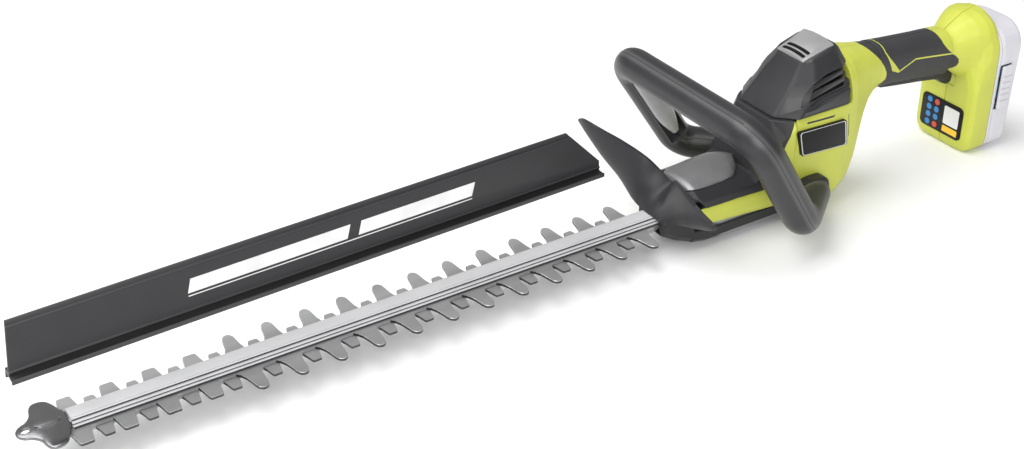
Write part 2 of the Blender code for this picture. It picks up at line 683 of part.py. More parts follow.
def gear_cover():
    """Dark cover over the gear case and the lower front of the motor."""
    rows = (
        # x, low, top, half width, width at the shoulder, drop of the shoulder
        (44.6, 24.5, 28.0, 24.0, 19.0, 2.4), (49.0, 24.0, 30.2, 30.0, 24.0, 4.3),
        (56.0, 17.0, 30.4, 31.3, 24.0, 6.0), (90.0, 17.0, 31.0, 32.2, 26.0, 6.0),
        (104.0, 17.0, 33.0, 33.0, 27.0, 7.0), (108.0, 17.0, 41.0, 33.2, 26.0, 10.0),
        (114.0, 17.0, 55.0, 33.6, 25.0, 14.0), (124.0, 17.0, 75.2, 34.6, 25.0, 22.0),
        (132.0, 17.0, 75.2, 36.0, 33.0, 14.0), (139.8, 17.0, 75.2, 38.2, 38.0, 6.0),
    )
    outer = []
    for x, low, top, half, shoulder, fall in rows:
        outer.append([v(x, y, z) for y, z in (
            (-half, low), (half, low), (half, top - fall), (shoulder - 3, top),
            (-shoulder + 3, top), (-half, top - fall))])
    cover = add("gear_cover", loft(outer))
    cut(cover, body_solid(-0.5))
    cut(cover, add("case_room", box(54, 150, -29.2, 29.2, 0, 23.4)))
    cut(cover, add("motor_room", prism(rounded(138, 190, -30, 30, 8), "z", 20, 90)))
    cut(cover, add("front_room", box(121, 142, -26, 26, 20, 46)))
    finish(cover, DARK)


def nose_fairing():
    """Smooth rounded hump on the front of the gear cover, pointed at its rear."""
    rows = ((45.5, 29.2, 15.0, 28.9), (47.5, 32.4, 18.0, 30.3), (51.0, 34.6, 20.0, 30.9),
            (62.0, 37.2, 21.0, 30.8), (78.0, 39.2, 21.4, 31.1), (90.0, 40.6, 20.0, 31.4),
            (97.0, 41.0, 15.0, 32.3), (101.0, 40.6, 10.0, 33.0), (103.6, 39.4, 4.0, 33.4))
    rings = []
    for x, top, half, low in rows:
        ring = []
        for i in range(13):
            angle = math.pi * i / 12
            rise = (top - low) * math.sin(angle) ** 0.8
            ring.append(v(x, half * math.cos(angle), low + max(rise, 0.0)))
        rings.append(ring)
    hump = add("nose_fairing", loft(rings))
    return finish(hump, SILVER, 50)


def belly_cover():
    """Dark tray under the body; its nose closes round the blades below the guard."""
    rows = (
        # x, low, top, half width
        (21.0, -6.0, 8.4, 15.5), (24.0, -9.0, 8.6, 19.0), (35.0, -14.0, 8.6, 23.5),
        (47.6, -17.4, 8.6, 27.0),
    )
    tail = ((47.7, -17.4, -5.4, 27.0), (60.0, -19.2, -5.4, 29.2), (74.0, -20.0, -5.4, 29.2),
            (172.0, -20.0, -5.4, 29.2), (183.0, -18.0, -5.4, 24.0))

    def solid(name, stations):
        rings = []
        for x, low, top, half in stations:
            slope = min(6.0, (top - low) * 0.4)
            rings.append([v(x, y, z) for y, z in (
                (-half + slope, low), (half - slope, low), (half, low + slope), (half, top),
                (-half, top), (-half, low + slope))])
        return add(name, loft(rings))

    tray = solid("belly_cover", rows)
    stern = solid("tail", tail)
    for vert in stern.data.vertices:
        if vert.co.x < 0.048:
            vert.co.x = 0.047
    unite(tray, stern)
    cut(tray, add("case_room", prism(rounded(65.6, 176.4, -27.4, 27.4, 10), "z", -17.4, 0)))
    cut(tray, add("nose_room", box(36, 72, -20, 20, -9.0, 12)))
    cut(tray, add("blade_way", box(10, 44, -12.9, 12.9, -7.4, 2.6)))
    cut(tray, add("bar_way", box(10, 44, -11.0, 11.0, 0, 12)))
    finish(tray, DARK)


def hand_guard():
    """Shield over the blade root; its two wings sweep forward and up to a point."""
    lower = ((0.0, 17.5, 9.6), (20.0, 18.3, 10.2), (40.0, 16.9, 21.5), (60.0, 12.0, 33.5),
             (80.0, 10.4, 43.4), (93.0, 9.4, 51.0))
    upper = ((0.0, 41.4, 32.0), (10.0, 36.0, 39.0), (20.0, 26.0, 50.0), (40.0, 16.5, 56.4),
             (60.0, 10.6, 58.0), (80.0, 7.4, 57.4), (93.0, 9.6, 53.4))

    def edge(rows, reach):
        for (r0, x0, z0), (r1, x1, z1) in zip(rows, rows[1:]):
            if reach <= r1:
                t = (reach - r0) / (r1 - r0)
                return v(x0 + (x1 - x0) * t, 0, z0 + (z1 - z0) * t)
        return v(*rows[-1][1:2], 0, rows[-1][2])

    rings = []
    steps = 34
    centre = Matrix.Translation(v(0, 0, 12.0))
    roll = centre @ Matrix.Rotation(GUARD_ROLL, 4, "X") @ centre.inverted()
    for i in range(steps + 1):
        y = GUARD_REACH * (2 * i / steps - 1)
        low, high = edge(lower, abs(y)), edge(upper, abs(y))
        along = (high - low).normalized()
        back = v(along.z, 0, -along.x) * 3.4
        bulge = v(-along.z, 0, along.x) * min(3.0, (high - low).length * 0.09)
        mid = (low + high) / 2 + bulge
        ring = [low, mid, high, high + back, mid + back, low + back]
        rings.append([roll @ (p + v(0, y, 0)) for p in ring])
    guard = add("hand_guard", loft(rings))
    cut(guard, add("cover_room", box(43.7, 80, -31.6, 31.6, -30, 24.2)))
    cut(guard, add("nose_room", box(10, 60, -30, 30, -30, 8.9)))
    cut(guard, add("bar_way", box(10, 75, -11.0, 11.0, 0, 9.4)))
    finish(guard, DARK, 30)


# ---------------------------------------------------------------- front loop handle

def loop_path(step=5.0):
    """Centre line of the loop from the far anchor to the near anchor, with round corners."""
    def flip(p):
        return v(p.x, -p.y, p.z)

    corners = [LOOP_ANCHOR, LOOP_LOW, LOOP_TOP, flip(LOOP_TOP), flip(LOOP_LOW), flip(LOOP_ANCHOR)]
    radii = [0, 24.0, 20.0, 20.0, 24.0, 0]
    points = [corners[0]]
    for before, corner, after, radius in zip(corners, corners[1:], corners[2:], radii[1:]):
        a, b = (before - corner).normalized(), (after - corner).normalized()
        half = math.acos(max(-1, min(1, a.dot(b)))) / 2
        back = radius / math.tan(half)
        centre = corner + (a + b).normalized() * (radius / math.sin(half))
        start, end = corner + a * back - centre, corner + b * back - centre
        reach = (centre + start - points[-1]).length
        for i in range(1, round(reach / 14.0)):
            points.append(points[-1].lerp(centre + start, 1 / (round(reach / 14.0) - i + 1)))
        turn = start.angle(end)
        count = max(3, round(radius * turn / step))
        for i in range(count + 1):
            way = start.normalized().slerp(end.normalized(), i / count)
            points.append(centre + way * radius)
    points.append(corners[-1])
    return points


def loop_frames(points):
    """Position, inward and normal directions along the loop."""
    up = (LOOP_TOP - LOOP_LOW).normalized()
    frames = []
    for i, p in enumerate(points):
        before, after = points[max(i - 1, 0)], points[min(i + 1, len(points) - 1)]
        tangent = (after - before).normalized()
        normal = up.cross(v(0, 1, 0))
        normal = (normal - tangent * normal.dot(tangent)).normalized()
        frames.append((p, tangent.cross(normal), normal))
    return frames


def lever_span():
    """First and last path index that the lever groove covers."""
    points = loop_path()
    low = LOOP_LOW.z + 0.16 * (LOOP_TOP.z - LOOP_LOW.z)
    inside = [i for i, p in enumerate(points) if p.z > low]
    return inside[0], inside[-1]


def half_section(side):
    """Half-round outline as (inward, normal) pairs."""
    arc = []
    for i in range(9):
        angle = math.radians(180 - 180 * i / 8)
        arc.append((LOOP_R * math.cos(angle), side * max(LOOP_R * math.sin(angle), GAP / 2)))
    return arc


def swept(frames, outline_at):
    rings = []
    for i, (p, inward, normal) in enumerate(frames):
        rings.append([p + inward * a + normal * b for a, b in outline_at(i)])
    return loft(rings)


def loop_handle():
    """Front and rear half of the loop, the lever in its inner groove and the side mounts."""
    frames = loop_frames(loop_path())
    first, last = lever_span()
    for name, side in (("handle_front_shell", 1), ("handle_rear_shell", -1)):
        shell = add(name, swept(frames, lambda i, s=side: half_section(s)))
        groove = [(1.0, -8.3), (1.0, 8.3), (18.0, 8.3), (18.0, -8.3)]
        cut(shell, add("groove", swept(frames[first:last + 1], lambda i: groove)))
        cut(shell, add("mount_room", box(120, 200, -51.9, 51.9, -30, 40)))
        finish(shell, DARK, 50)

    section = [(8.8, -7.8)]
    for i in range(9):
        angle = math.radians(-90 + 180 * i / 8)
        section.append((12.0 + 4.6 * math.cos(angle), 7.8 * math.sin(angle)))
    section.append((8.8, 7.8))
    tips = frames[first + 1:last]
    shares = {0: 0.35, 1: 0.8, len(tips) - 2: 0.8, len(tips) - 1: 0.35}

    def lever_outline(i):
        share = shares.get(i, 1.0)
        return [(8.8 + (a - 8.8) * share, b * share) for a, b in section]

    lever = add("front_switch_lever", swept(tips, lever_outline))
    finish(lever, SILVER, 50)

    middle = len(frames) // 2
    block = [(1.3, -5.0), (1.3, 5.0), (4.8, 5.0), (4.8, -5.0)]
    _, inward, normal = frames[middle]
    across = [v(LOOP_TOP.x, y, LOOP_TOP.z) for y in (-9.0, 9.0)]
    switch = add("front_switch", loft([
        [p + inward * a + normal * b for a, b in block] for p in across]))
    finish(switch, PACK)

    for name, side in (("handle_mount_near", -1), ("handle_mount_far", 1)):
        rings = []
        for reach, grow in ((33.0, 0.0), (48.0, 0.0), (51.5, -3.0)):
            outline = rounded(144 - grow, 173 + grow, -8.5 - grow, 21 + grow, 9 + grow, 4)
            rings.append([v(x, side * reach, z) for x, z in outline])
        mount = add(name, loft(rings))
        cut(mount, body_solid(-0.35))
        cut(mount, add("case_side", box(130, 190, -34, 34, -40, 40)))
        finish(mount, DARK)


# ---------------------------------------------------------------- rear handle

def grip_halves():
    """Soft overmould round the grip core, in two halves, open for the trigger."""
    skin = (
        (250.0, 63.0, 105.3, 18.6, 2.4), (270.0, 62.4, 103.2, 17.8, 2.4),
        (305.0, 58.4, 100.2, 17.4, 2.4), (336.0, 53.6, 98.0, 17.8, 2.4),
    )
    whole = add("grip", oval_loft(skin))
    cut(whole, body_solid(-0.3), add("core", oval_loft(
        [(x + d, low - 0.3, high + 0.3, half + 0.3, power)
         for (x, low, high, half, power), d in zip(CORE, (-4, 0, 0, 4))])))
    cut(whole, add("trigger_way", box(246, 356, -8.6, 8.6, 38, 79)))
    far = mirrored(whole, "rear_grip_far")
    whole.name = "rear_grip_near"
    keep(whole, add("near_half", box(240, 360, -60, -GAP / 2, 0, 160)))
    keep(far, add("far_half", box(240, 360, GAP / 2, 60, 0, 160)))
    finish(whole, GRIP)
    finish(far, GRIP)


TRIGGER_PIVOT = (266.0, 0.0, 68.0)


def trigger():
    """Long paddle under the grip, hinged at its front, with a hooked rear end."""
    profile = [(258.5, 70.0), (258.5, 64.0), (262.0, 61.0), (282.0, 58.0), (308.0, 54.6),
               (334.0, 50.4), (339.0, 45.5), (345.0, 42.4), (350.5, 43.5), (352.0, 48.5),
               (350.5, 53.5), (345.0, 57.0), (320.0, 61.5), (290.0, 65.5), (274.0, 71.5),
               (266.0, 73.5)]
    paddle = add("trigger", prism(profile, "y", -8.1, 8.1))
    beveled(paddle, 1.6, 2, 30)
    px, _, pz = TRIGGER_PIVOT
    cut(paddle, add("pivot_hole", cylinder("y", 2.3, -10, 10, px, pz, 16)))
    on_axis(finish(paddle, DARK), *TRIGGER_PIVOT)
    pin = add("trigger_pin", cylinder("y", 2.0, -8.4, 8.4, px, pz, 16))
    finish(pin, STEEL)
    switch = add("trigger_switch", box(296, 322, -7.5, 7.5, 79.5, 92))
    unite(switch, add("plunger", cylinder("z", 2.2, 67.5, 80, 302, 0, 12)))
    finish(beveled(switch, 0.8, 1, 60), DARK)


# ---------------------------------------------------------------- battery pack

def battery():
    """Pack that slides onto the dock from behind: case, lid, five cells and side latches."""
    outline = rounded(-35.5, 35.5, FLOOR_Z + 2.0, 98.0, (24, 24, 12, 12), 5)
    front_x, split_x = DOCK_REAR_X + GAP + 0.1, 380.6
    inner = rounded(-33.2, 33.2, FLOOR_Z + 4.5, 95.5, (21, 21, 8, 8), 5)
    case = add("battery_case", prism(outline, "x", split_x + GAP, PACK_REAR_X))
    hollow = add("hollow", prism(inner, "x", split_x - 2, PACK_REAR_X - 2.0))
    for solid in (case, hollow):
        for vert in solid.data.vertices:
            if vert.co.x > 0.39:
                vert.co.x += PACK_LEAN * (vert.co.z - 0.03)
    beveled(case, 3.5, 2, 60)
    cut(case, hollow)
    lid = add("battery_lid", prism(outline, "x", front_x, split_x))
    unite(lid, add("stem", prism(rounded(-14.5, 14.5, 16, 64, 4), "x", 364.0, split_x - 1)))
    cut(lid, add("stem_room", prism(rounded(-12, 12, 18.5, 61.5, 3), "x", 366.5, split_x + 1)))
    cut(lid, add("contact_way", box(362, 370, -9, 9, 26, 54)))
    for side in (-1, 1):
        cut(case, add("latch_way", box(382.5, 396.0, side * 33.0, side * 40, 18.0, 62.0)))
    finish(case, PACK)
    finish(lid, PACK)
    contacts = add("battery_contacts", box(364.6, 366.2, -8.6, 8.6, 26.4, 53.6))
    for z in (30.0, 40.0, 50.0):
        unite(contacts, add("blade", box(365.5, 374, -0.6, 0.6, z - 3, z + 3)))
    finish(contacts, BRASS)
    for i in range(5):
        z = -9.4 + 21.0 * i
        add(f"cell_{i + 1}", cylinder("y", CELL_R, -28.0, 28.0, 390.2, z, 24), CELL, 40)
    for name, side in (("latch_near", -1), ("latch_far", 1)):
        button = add(name, box(383.0, 395.5, side * 35.0, side * 38.6, 18.5, 61.5))
        beveled(button, 1.6, 2, 60)
        for z in (28.0, 34.0, 40.0, 46.0, 52.0):
            cut(button, add("rib", box(381, 397, side * 37.6, side * 40, z - 1.2, z + 1.2)))
        finish(button, DARK)


def dock_block():
    block = add("dock_terminals", box(359.0, 363.6, -13, 13, 22, 58))
    for z in (30.0, 40.0, 50.0):
        cut(block, add("slit", box(361, 365, -6, 6, z - 1, z + 1)))
    finish(block, DARK)


# ---------------------------------------------------------------- debris panel and labels

def debris_panel():
    """Long upright panel with a raked end and a grooved foot that clips over the bar."""
    section = [
        (-8.6, 0.5), (-7.4, 0.5), (-7.2, 2.0), (7.2, 2.0), (7.4, -3.0), (8.8, -3.0), (8.6, 4.4),
        (1.4, 4.8), (1.2, PANEL_HEIGHT), (-0.5, PANEL_HEIGHT), (-0.5, PANEL_HEIGHT - 3.6),
        (-1.6, PANEL_HEIGHT - 3.8), (-1.2, PANEL_HEIGHT - 4.6), (-1.2, 7.0), (-2.2, 6.4),
        (-2.2, 5.6), (-1.4, 4.8), (-1.4, 3.4), (-7.2, 3.2), (-7.6, 3.9), (-8.6, 3.7),
    ]
    ends = [[v(PANEL_TIP_X + PANEL_RAKE * z / PANEL_HEIGHT, y, PANEL_FOOT_Z + z)
             for y, z in section],
            [v(PANEL_ROOT_X, y, PANEL_FOOT_Z + z) for y, z in section]]
    panel = add("debris_panel", loft(ends))
    slant = [(PANEL_ROOT_X + 0.5, PANEL_FOOT_Z + 11), (PANEL_ROOT_X + 9, PANEL_FOOT_Z + 11),
             (PANEL_ROOT_X + 9, PANEL_FOOT_Z + 70), (PANEL_ROOT_X - 52, PANEL_FOOT_Z + 70)]
    cut(panel, add("slant", prism(slant, "y", -20, 20)))
    panel.data.transform(
        Matrix.Translation(v(PANEL_TIP_X, 0, PANEL_FOOT_Z) * MM)
        @ Matrix.Rotation(-PANEL_PITCH, 4, "Y")
        @ Matrix.Translation(-v(PANEL_TIP_X, 0, PANEL_FOOT_Z) * MM))
    finish(panel, DARK, 30)


def label_plates():
    """Raised blank plates on both cheeks of the body."""
    outline = [(140.5, 64.5), (142.0, 66.2), (191.5, 64.2), (193.2, 62.5), (196.6, 41.0),
               (195.0, 39.2), (147.0, 42.4), (145.0, 44.5)]
    plate = add("label_plate_near", prism(outline, "y", -40.3, -37.0))
    cut(plate, body_solid(-0.3))
    finish(plate, LABEL)
    finish(mirrored(plate, "label_plate_far"), LABEL)


def shell_screws():
    """Long screws that draw the near shell onto the far shell."""
    for number, (x, z) in enumerate(((212.0, 66.0), (372.0, 90.0), (372.0, -8.0)), 1):
        screw = add(f"shell_screw_{number}", cylinder("y", 2.0, -22.0, 22.0, x, z, 12))
        unite(screw, add("head", cylinder("y", 3.6, -24.0, -21.0, x, z, 16)))
        finish(screw, DARK_STEEL)


def hang_all():
    """Parents every piece to one empty, which brings the datum to the world origin."""
    frame = bpy.data.objects.new("trimmer", None)
    bpy.context.scene.collection.objects.link(frame)
    for obj in bpy.data.objects:
        if obj is not frame:
            obj.parent = frame
    frame.location = v(DATUM_X, 0.0, -FLOOR_Z) * MM


def main():
    clear_scene()
    blades()
    guide_bar()
    blade_bolts()
    tip_guard()
    crank_drive()
    motor()
    gear_case()
    body_shells()
    motor_cover()
    motor_cap()
    gear_cover()
    nose_fairing()
    belly_cover()
    hand_guard()
    loop_handle()
    grip_halves()
    trigger()
    battery()
    dock_block()
    debris_panel()
    label_plates()
    shell_screws()
    hang_all()


main()
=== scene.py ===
"""Looks for the cordless hedge trimmer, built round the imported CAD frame.

Shapes are written in design millimetres, as in part.py: X from the blade tip to the battery,
Y to the far side, Z up, z = 0 on the underside of the upper blade. DATUM takes them to metres
in the shared frame.
"""

import json
import math

import bmesh
import bpy
from mathutils import Matrix, Vector


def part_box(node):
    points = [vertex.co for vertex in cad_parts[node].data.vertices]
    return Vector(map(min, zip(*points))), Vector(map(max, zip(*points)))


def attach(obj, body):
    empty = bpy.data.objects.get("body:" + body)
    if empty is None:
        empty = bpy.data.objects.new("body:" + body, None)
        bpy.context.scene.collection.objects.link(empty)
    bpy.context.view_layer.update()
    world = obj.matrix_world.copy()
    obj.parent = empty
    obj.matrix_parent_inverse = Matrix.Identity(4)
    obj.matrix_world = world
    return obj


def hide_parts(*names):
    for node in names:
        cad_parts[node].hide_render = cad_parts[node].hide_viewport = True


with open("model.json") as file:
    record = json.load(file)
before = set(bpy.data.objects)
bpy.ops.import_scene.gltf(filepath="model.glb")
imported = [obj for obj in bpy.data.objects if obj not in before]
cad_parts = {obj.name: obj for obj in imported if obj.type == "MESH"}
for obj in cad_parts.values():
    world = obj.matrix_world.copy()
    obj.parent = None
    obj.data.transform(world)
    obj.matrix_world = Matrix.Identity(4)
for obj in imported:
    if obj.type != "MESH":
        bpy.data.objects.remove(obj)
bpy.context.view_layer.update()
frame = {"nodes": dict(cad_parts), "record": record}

MM = 0.001
GAP = 0.3
BLADE_ROOT_X = 104.0
BLADE_ROOT_HALF = 9.0
BLADE_THICK = 2.2
blade_low, blade_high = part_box("upper_blade")
DATUM = Vector((blade_high.x - BLADE_ROOT_X * MM, 0.0, blade_low.z))

# Camera
CAMERA_AT = (-0.5821, -0.8476, 0.6765)
CAMERA_AZIMUTH = 31.47
CAMERA_DOWN = 31.58
CAMERA_ROLL = 0.65
CAMERA_LENS = 52.94

# Blades and bar
PITCH = 31.0
TOOTH_COUNT = 16
ROUND_TEETH = 12
BLADE_HALF = 12.0
BLADE_TIP_X = -474.0
GRIND_WIDTH = 0.8
BAR_TIP_X = -469.0
BAR_ROOT_X = 62.0
BAR_LOW_Z = 2.5
BAR_STEP_YS = (7.1, 8.8)
TONGUE_END_X = -442.0
TONGUE_HALF = 6.4
BOLT_XS = (-448.0, -331.0, -217.0, -103.0, 12.0)

# Each kind of tooth: (along the blade from the tooth's middle, out from the centre line)
ROUND_TOOTH = (
    (-11.0, 12.0), (-8.0, 15.5), (-6.0, 20.0), (-4.6, 26.0), (-3.6, 31.5), (-2.7, 34.0),
    (-1.2, 35.8), (0.4, 36.5), (1.8, 36.6), (3.2, 36.0), (4.6, 34.6), (5.5, 32.4), (5.8, 30.0),
    (6.1, 25.5), (6.4, 21.0), (7.1, 16.2), (8.6, 12.0),
)
SQUARE_TOOTH = (
    (-8.6, 12.0), (-7.6, 15.0), (-6.6, 20.5), (-5.6, 26.0), (-5.0, 27.4), (-4.0, 28.0),
    (3.4, 28.0), (4.5, 27.4), (5.0, 25.8), (6.1, 18.5), (6.6, 14.6), (7.2, 12.0),
)
NARROW_TOOTH = (
    (-6.4, 12.0), (-5.4, 15.0), (-3.8, 22.6), (-3.4, 23.6), (-2.6, 24.0), (2.6, 24.0),
    (3.4, 23.5), (3.8, 22.4), (5.2, 15.0), (6.2, 12.0),
)

# Front loop handle
LOOP_LOW = Vector((113.0, 83.0, 12.0))
LOOP_TOP = Vector((53.6, 88.6, 106.0))
LOOP_ANCHOR = Vector((158.0, 46.0, 8.0))
LOOP_R = 14.2
LEVER_START = 0.10
LEVER_BACK = 8.9
LEVER_HALF = 8.9
GROOVE_HALF = 9.5

# Hand guard
GUARD_REACH = 93.0
GUARD_ROLL = math.radians(4)
GUARD_ROLL_Z = 12.0
GUARD_WALL = 3.2

# Motor hood
HOOD_LOW_Z = 75.6
HOOD_REAR_X = 203.0
HOOD_MID_X = 175.0
HOOD_WALL = 3.4
ROOF_LEAN = 0.3
POCKET_Z = 119.6
CAP_Z = 119.9
CAP_SLOT_XS = (161.4, 166.4)
CAP_SLOT_WIDTH = 3.2
CAP_SLOT_HALF = 13.4
TOWER = (
    # z, front x, rear x, half width, front chamfer, rear chamfer, lean
    (HOOD_LOW_Z, 126.5, HOOD_REAR_X, 37.4, 16.0, 6.0, 0.0),
    (92.0, 138.5, HOOD_REAR_X, 34.8, 15.0, 7.0, 0.1),
    (106.0, 148.5, 201.0, 30.2, 12.5, 8.0, 0.2),
    (115.5, 155.5, 197.0, 24.3, 9.5, 8.0, 0.3),
    (120.4, 159.0, 192.5, 21.0, 7.0, 7.0, 0.3),
)

# Two-colour fields on the side view
LIME_ON_GRIP = (
    [(240.0, 99.0), (245.0, 99.0), (248.0, 95.0), (252.4, 88.5), (255.7, 82.0), (256.4, 78.5),
     (256.0, 75.2), (252.0, 72.0), (245.5, 70.5), (240.0, 70.5)],
    [(255.4, 107.0), (256.6, 107.0), (256.6, 99.0), (255.4, 99.0)],
    [(255.4, 99.2), (256.6, 99.2), (259.6, 94.1), (272.0, 79.4), (271.0, 77.6), (262.7, 81.6)],
    [(271.0, 77.6), (290.4, 84.9), (290.6, 86.2), (271.8, 79.4)],
    [(290.4, 84.9), (336.4, 78.7), (336.4, 80.0), (290.6, 86.2)],
    [(321.2, 107.0), (321.6, 102.6), (323.0, 97.0), (325.4, 90.3), (330.0, 84.6), (335.1, 80.1),
     (345.0, 79.5), (345.0, 107.0)],
)
RUBBER_AND_SHADE_ON_BODY = (
    [(234.0, 116.0), (236.0, 109.1), (240.5, 103.6), (248.0, 95.0), (254.0, 86.0),
     (254.0, 116.0)],
    [(330.0, 79.6), (335.1, 79.4), (341.1, 75.8), (344.0, 72.2), (344.8, 68.4), (344.2, 65.0),
     (342.0, 61.8), (337.0, 59.2), (330.0, 59.0)],
    # The last two fields are painted shade: a dark strip for the slot above the plate and a dark
    # line for the edge of the recessed frame beside it.
    [(152.0, 69.4), (181.0, 68.3), (182.5, 69.9), (152.5, 71.0)],
    [(198.0, 66.0), (198.9, 66.0), (201.8, 44.0), (200.9, 44.0)],
)
LIME_ON_COVER = ([(117.9, 24.0), (141.9, 81.0), (150.0, 81.0), (150.0, 24.0)],)

# Debris panel
PANEL_TIP_X = -501.5
PANEL_RAKE = 6.4
PANEL_ROOT_X = -32.0
PANEL_FOOT_Z = 51.0
PANEL_HEIGHT = 45.0
PANEL_PITCH = math.radians(1.45)
PANEL_STRIPES = (
    # x start, x end, low and high over the foot
    (-374, -252, 19.5, 30.5),
    (-243, -148, 19.5, 30.5),
    (-374, -148, 16.8, 17.5),
)

# Lights
SKY_STRENGTH = 0.45
KEY_POWER = 78.0
FILL_POWER = 36.0


# ---------------------------------------------------------------- materials

def look(name, colour, rough, metal=0.0, vary=0.1, grain=1400.0, bump=0.12, edge_highlight=0.12,
         streak=1.0, **sockets):
    """Procedural finish: cloudy tint and gloss, fine grain in relief, and paler sharp edges as a
    painted edge highlight.
    """
    mat = bpy.data.materials.new(name)
    mat.use_nodes = True
    nodes, links = mat.node_tree.nodes, mat.node_tree.links
    shader = nodes["Principled BSDF"]
    shader.inputs["Metallic"].default_value = metal
    for socket, value in sockets.items():
        shader.inputs[socket.replace("_", " ")].default_value = value

    coords = nodes.new("ShaderNodeTexCoord")
    stretch = nodes.new("ShaderNodeMapping")
    stretch.inputs["Scale"].default_value = (streak, 1.0, 1.0)
    links.new(coords.outputs["Object"], stretch.inputs["Vector"])

    def noise(scale, detail):
        node = nodes.new("ShaderNodeTexNoise")
        node.inputs["Scale"].default_value = scale
        node.inputs["Detail"].default_value = detail
        links.new(stretch.outputs["Vector"], node.inputs["Vector"])
        return node.outputs["Fac"]

    cloud = noise(38.0, 4.0)
    speck = noise(grain, 2.0)
    tint = nodes.new("ShaderNodeValToRGB")
    tint.color_ramp.elements[0].position = 0.3
    tint.color_ramp.elements[1].position = 0.7
    tint.color_ramp.elements[0].color = (*(c * (1 - vary) for c in colour), 1)
    tint.color_ramp.elements[1].color = (*(min(1, c * (1 + vary)) for c in colour), 1)
    links.new(cloud, tint.inputs["Fac"])

    # Paler colour on sharp convex edges, read from pointiness: a painted edge highlight.
    shape = nodes.new("ShaderNodeNewGeometry")
    edge = nodes.new("ShaderNodeMapRange")
    edge.inputs["From Min"].default_value = 0.52
    edge.inputs["From Max"].default_value = 0.62
    edge.inputs["To Max"].default_value = edge_highlight
    links.new(shape.outputs["Pointiness"], edge.inputs["Value"])
    lit_edges = nodes.new("ShaderNodeMix")
    lit_edges.data_type = "RGBA"
    lit_edges.inputs["B"].default_value = (*(0.55 * c + 0.35 for c in colour), 1)
    links.new(edge.outputs["Result"], lit_edges.inputs["Factor"])
    links.new(tint.outputs["Color"], lit_edges.inputs["A"])
    links.new(lit_edges.outputs["Result"], shader.inputs["Base Color"])

    gloss = nodes.new("ShaderNodeMapRange")
    gloss.inputs["From Min"].default_value = 0.3
    gloss.inputs["From Max"].default_value = 0.7
    gloss.inputs["To Min"].default_value = rough - 0.05
    gloss.inputs["To Max"].default_value = rough + 0.05
    links.new(cloud, gloss.inputs["Value"])
    links.new(gloss.outputs["Result"], shader.inputs["Roughness"])

    relief = nodes.new("ShaderNodeBump")
    relief.inputs["Strength"].default_value = bump
    relief.inputs["Distance"].default_value = 0.0003
    links.new(speck, relief.inputs["Height"])
    links.new(relief.outputs["Normal"], shader.inputs["Normal"])
    return mat


LIME = look("lime_plastic", (0.515, 0.55, 0.07), 0.42, vary=0.04)
DARK = look("charcoal_plastic", (0.025, 0.025, 0.027), 0.42, bump=0.2,
            Specular_IOR_Level=0.3)
LOOP = look("loop_plastic", (0.024, 0.024, 0.026), 0.36, bump=0.16,
            Specular_IOR_Level=0.4)
RUBBER = look("soft_rubber", (0.030, 0.030, 0.033), 0.58, grain=900.0, bump=0.45)
# Near-black look put on slot walls, pocket floors and grooves as painted shade.
SHADE = look("painted_shade_black", (0.008, 0.008, 0.008), 0.6)
# Pale metallic grey; on the nose fairing it is a painted sheen over what is dark plastic.
TRIM = look("pale_trim_and_sheen", (0.24, 0.24, 0.245), 0.3, metal=0.5)
CROWN = look("crown_plate", (0.30, 0.30, 0.305), 0.3, metal=0.2, bump=0.3)
PADDLE = look("lever_plastic", (0.42, 0.42, 0.43), 0.34)
STEEL = look("blade_steel", (0.33, 0.33, 0.335), 0.45, metal=0.45, vary=0.16, grain=900.0,
             bump=0.35, streak=0.3)
GROUND = look("ground_edge", (0.62, 0.62, 0.63), 0.28, metal=0.6, grain=900.0)
ALLOY = look("bar_aluminium", (0.66, 0.66, 0.67), 0.42, metal=0.25, vary=0.03, grain=2400.0,
             edge_highlight=0.05)
PRESSED = look("pressed_steel", (0.20, 0.20, 0.205), 0.24, metal=0.85, grain=500.0,
               bump=0.2)
# Near-black steel painted on the tooth sides and under the bar as painted shade.
SIDE_SHADE = look("shaded_tooth_side", (0.02, 0.02, 0.022), 0.45, metal=0.4, grain=500.0)
IRON = look("dark_steel", (0.075, 0.076, 0.08), 0.3, metal=0.7, grain=500.0, bump=0.3)
CAST = look("cast_alloy", (0.42, 0.42, 0.43), 0.5, metal=0.8, grain=350.0, bump=0.4)
COPPER = look("winding_copper", (0.55, 0.24, 0.10), 0.38, metal=0.9, streak=0.2)
BRASS = look("contact_brass", (0.75, 0.56, 0.26), 0.3, metal=0.9)
PACK = look("pack_plastic", (0.60, 0.59, 0.63), 0.34, vary=0.04)
CELL = look("cell_sleeve", (0.10, 0.28, 0.52), 0.35)
LABEL = look("label_black", (0.006, 0.006, 0.007), 0.35, bump=0.05, edge_highlight=0.04,
             Specular_IOR_Level=0.2)
PRINT = look("label_white", (0.72, 0.72, 0.72), 0.4, bump=0.05, edge_highlight=0.0)
BLUE = look("label_blue", (0.02, 0.20, 0.50), 0.35, bump=0.05, edge_highlight=0.0)
AMBER = look("label_amber", (0.85, 0.52, 0.03), 0.35, bump=0.05, edge_highlight=0.0)
RED = look("label_red", (0.55, 0.06, 0.04), 0.35, bump=0.05, edge_highlight=0.0)

CARRIED = {
    "dark_steel": IRON, "pack_plastic": PACK, "contact_brass": BRASS, "dark_plastic": DARK,
    "lime_shell": LIME, "cell_sleeve": CELL, "cast_alloy": CAST, "blade_steel": STEEL,
    "silver_trim": TRIM, "bar_aluminium": ALLOY, "label_black": LABEL,
    "winding_copper": COPPER, "grip_rubber": RUBBER,
}


# ---------------------------------------------------------------- geometry helpers

def v(x, y, z):
    return Vector((x, y, z))


def place(p):
    """Design millimetres to metres in the shared frame."""
    return p * MM + DATUM


def design(p):
    """Metres in the shared frame to design millimetres."""
    return (p - DATUM) / MM


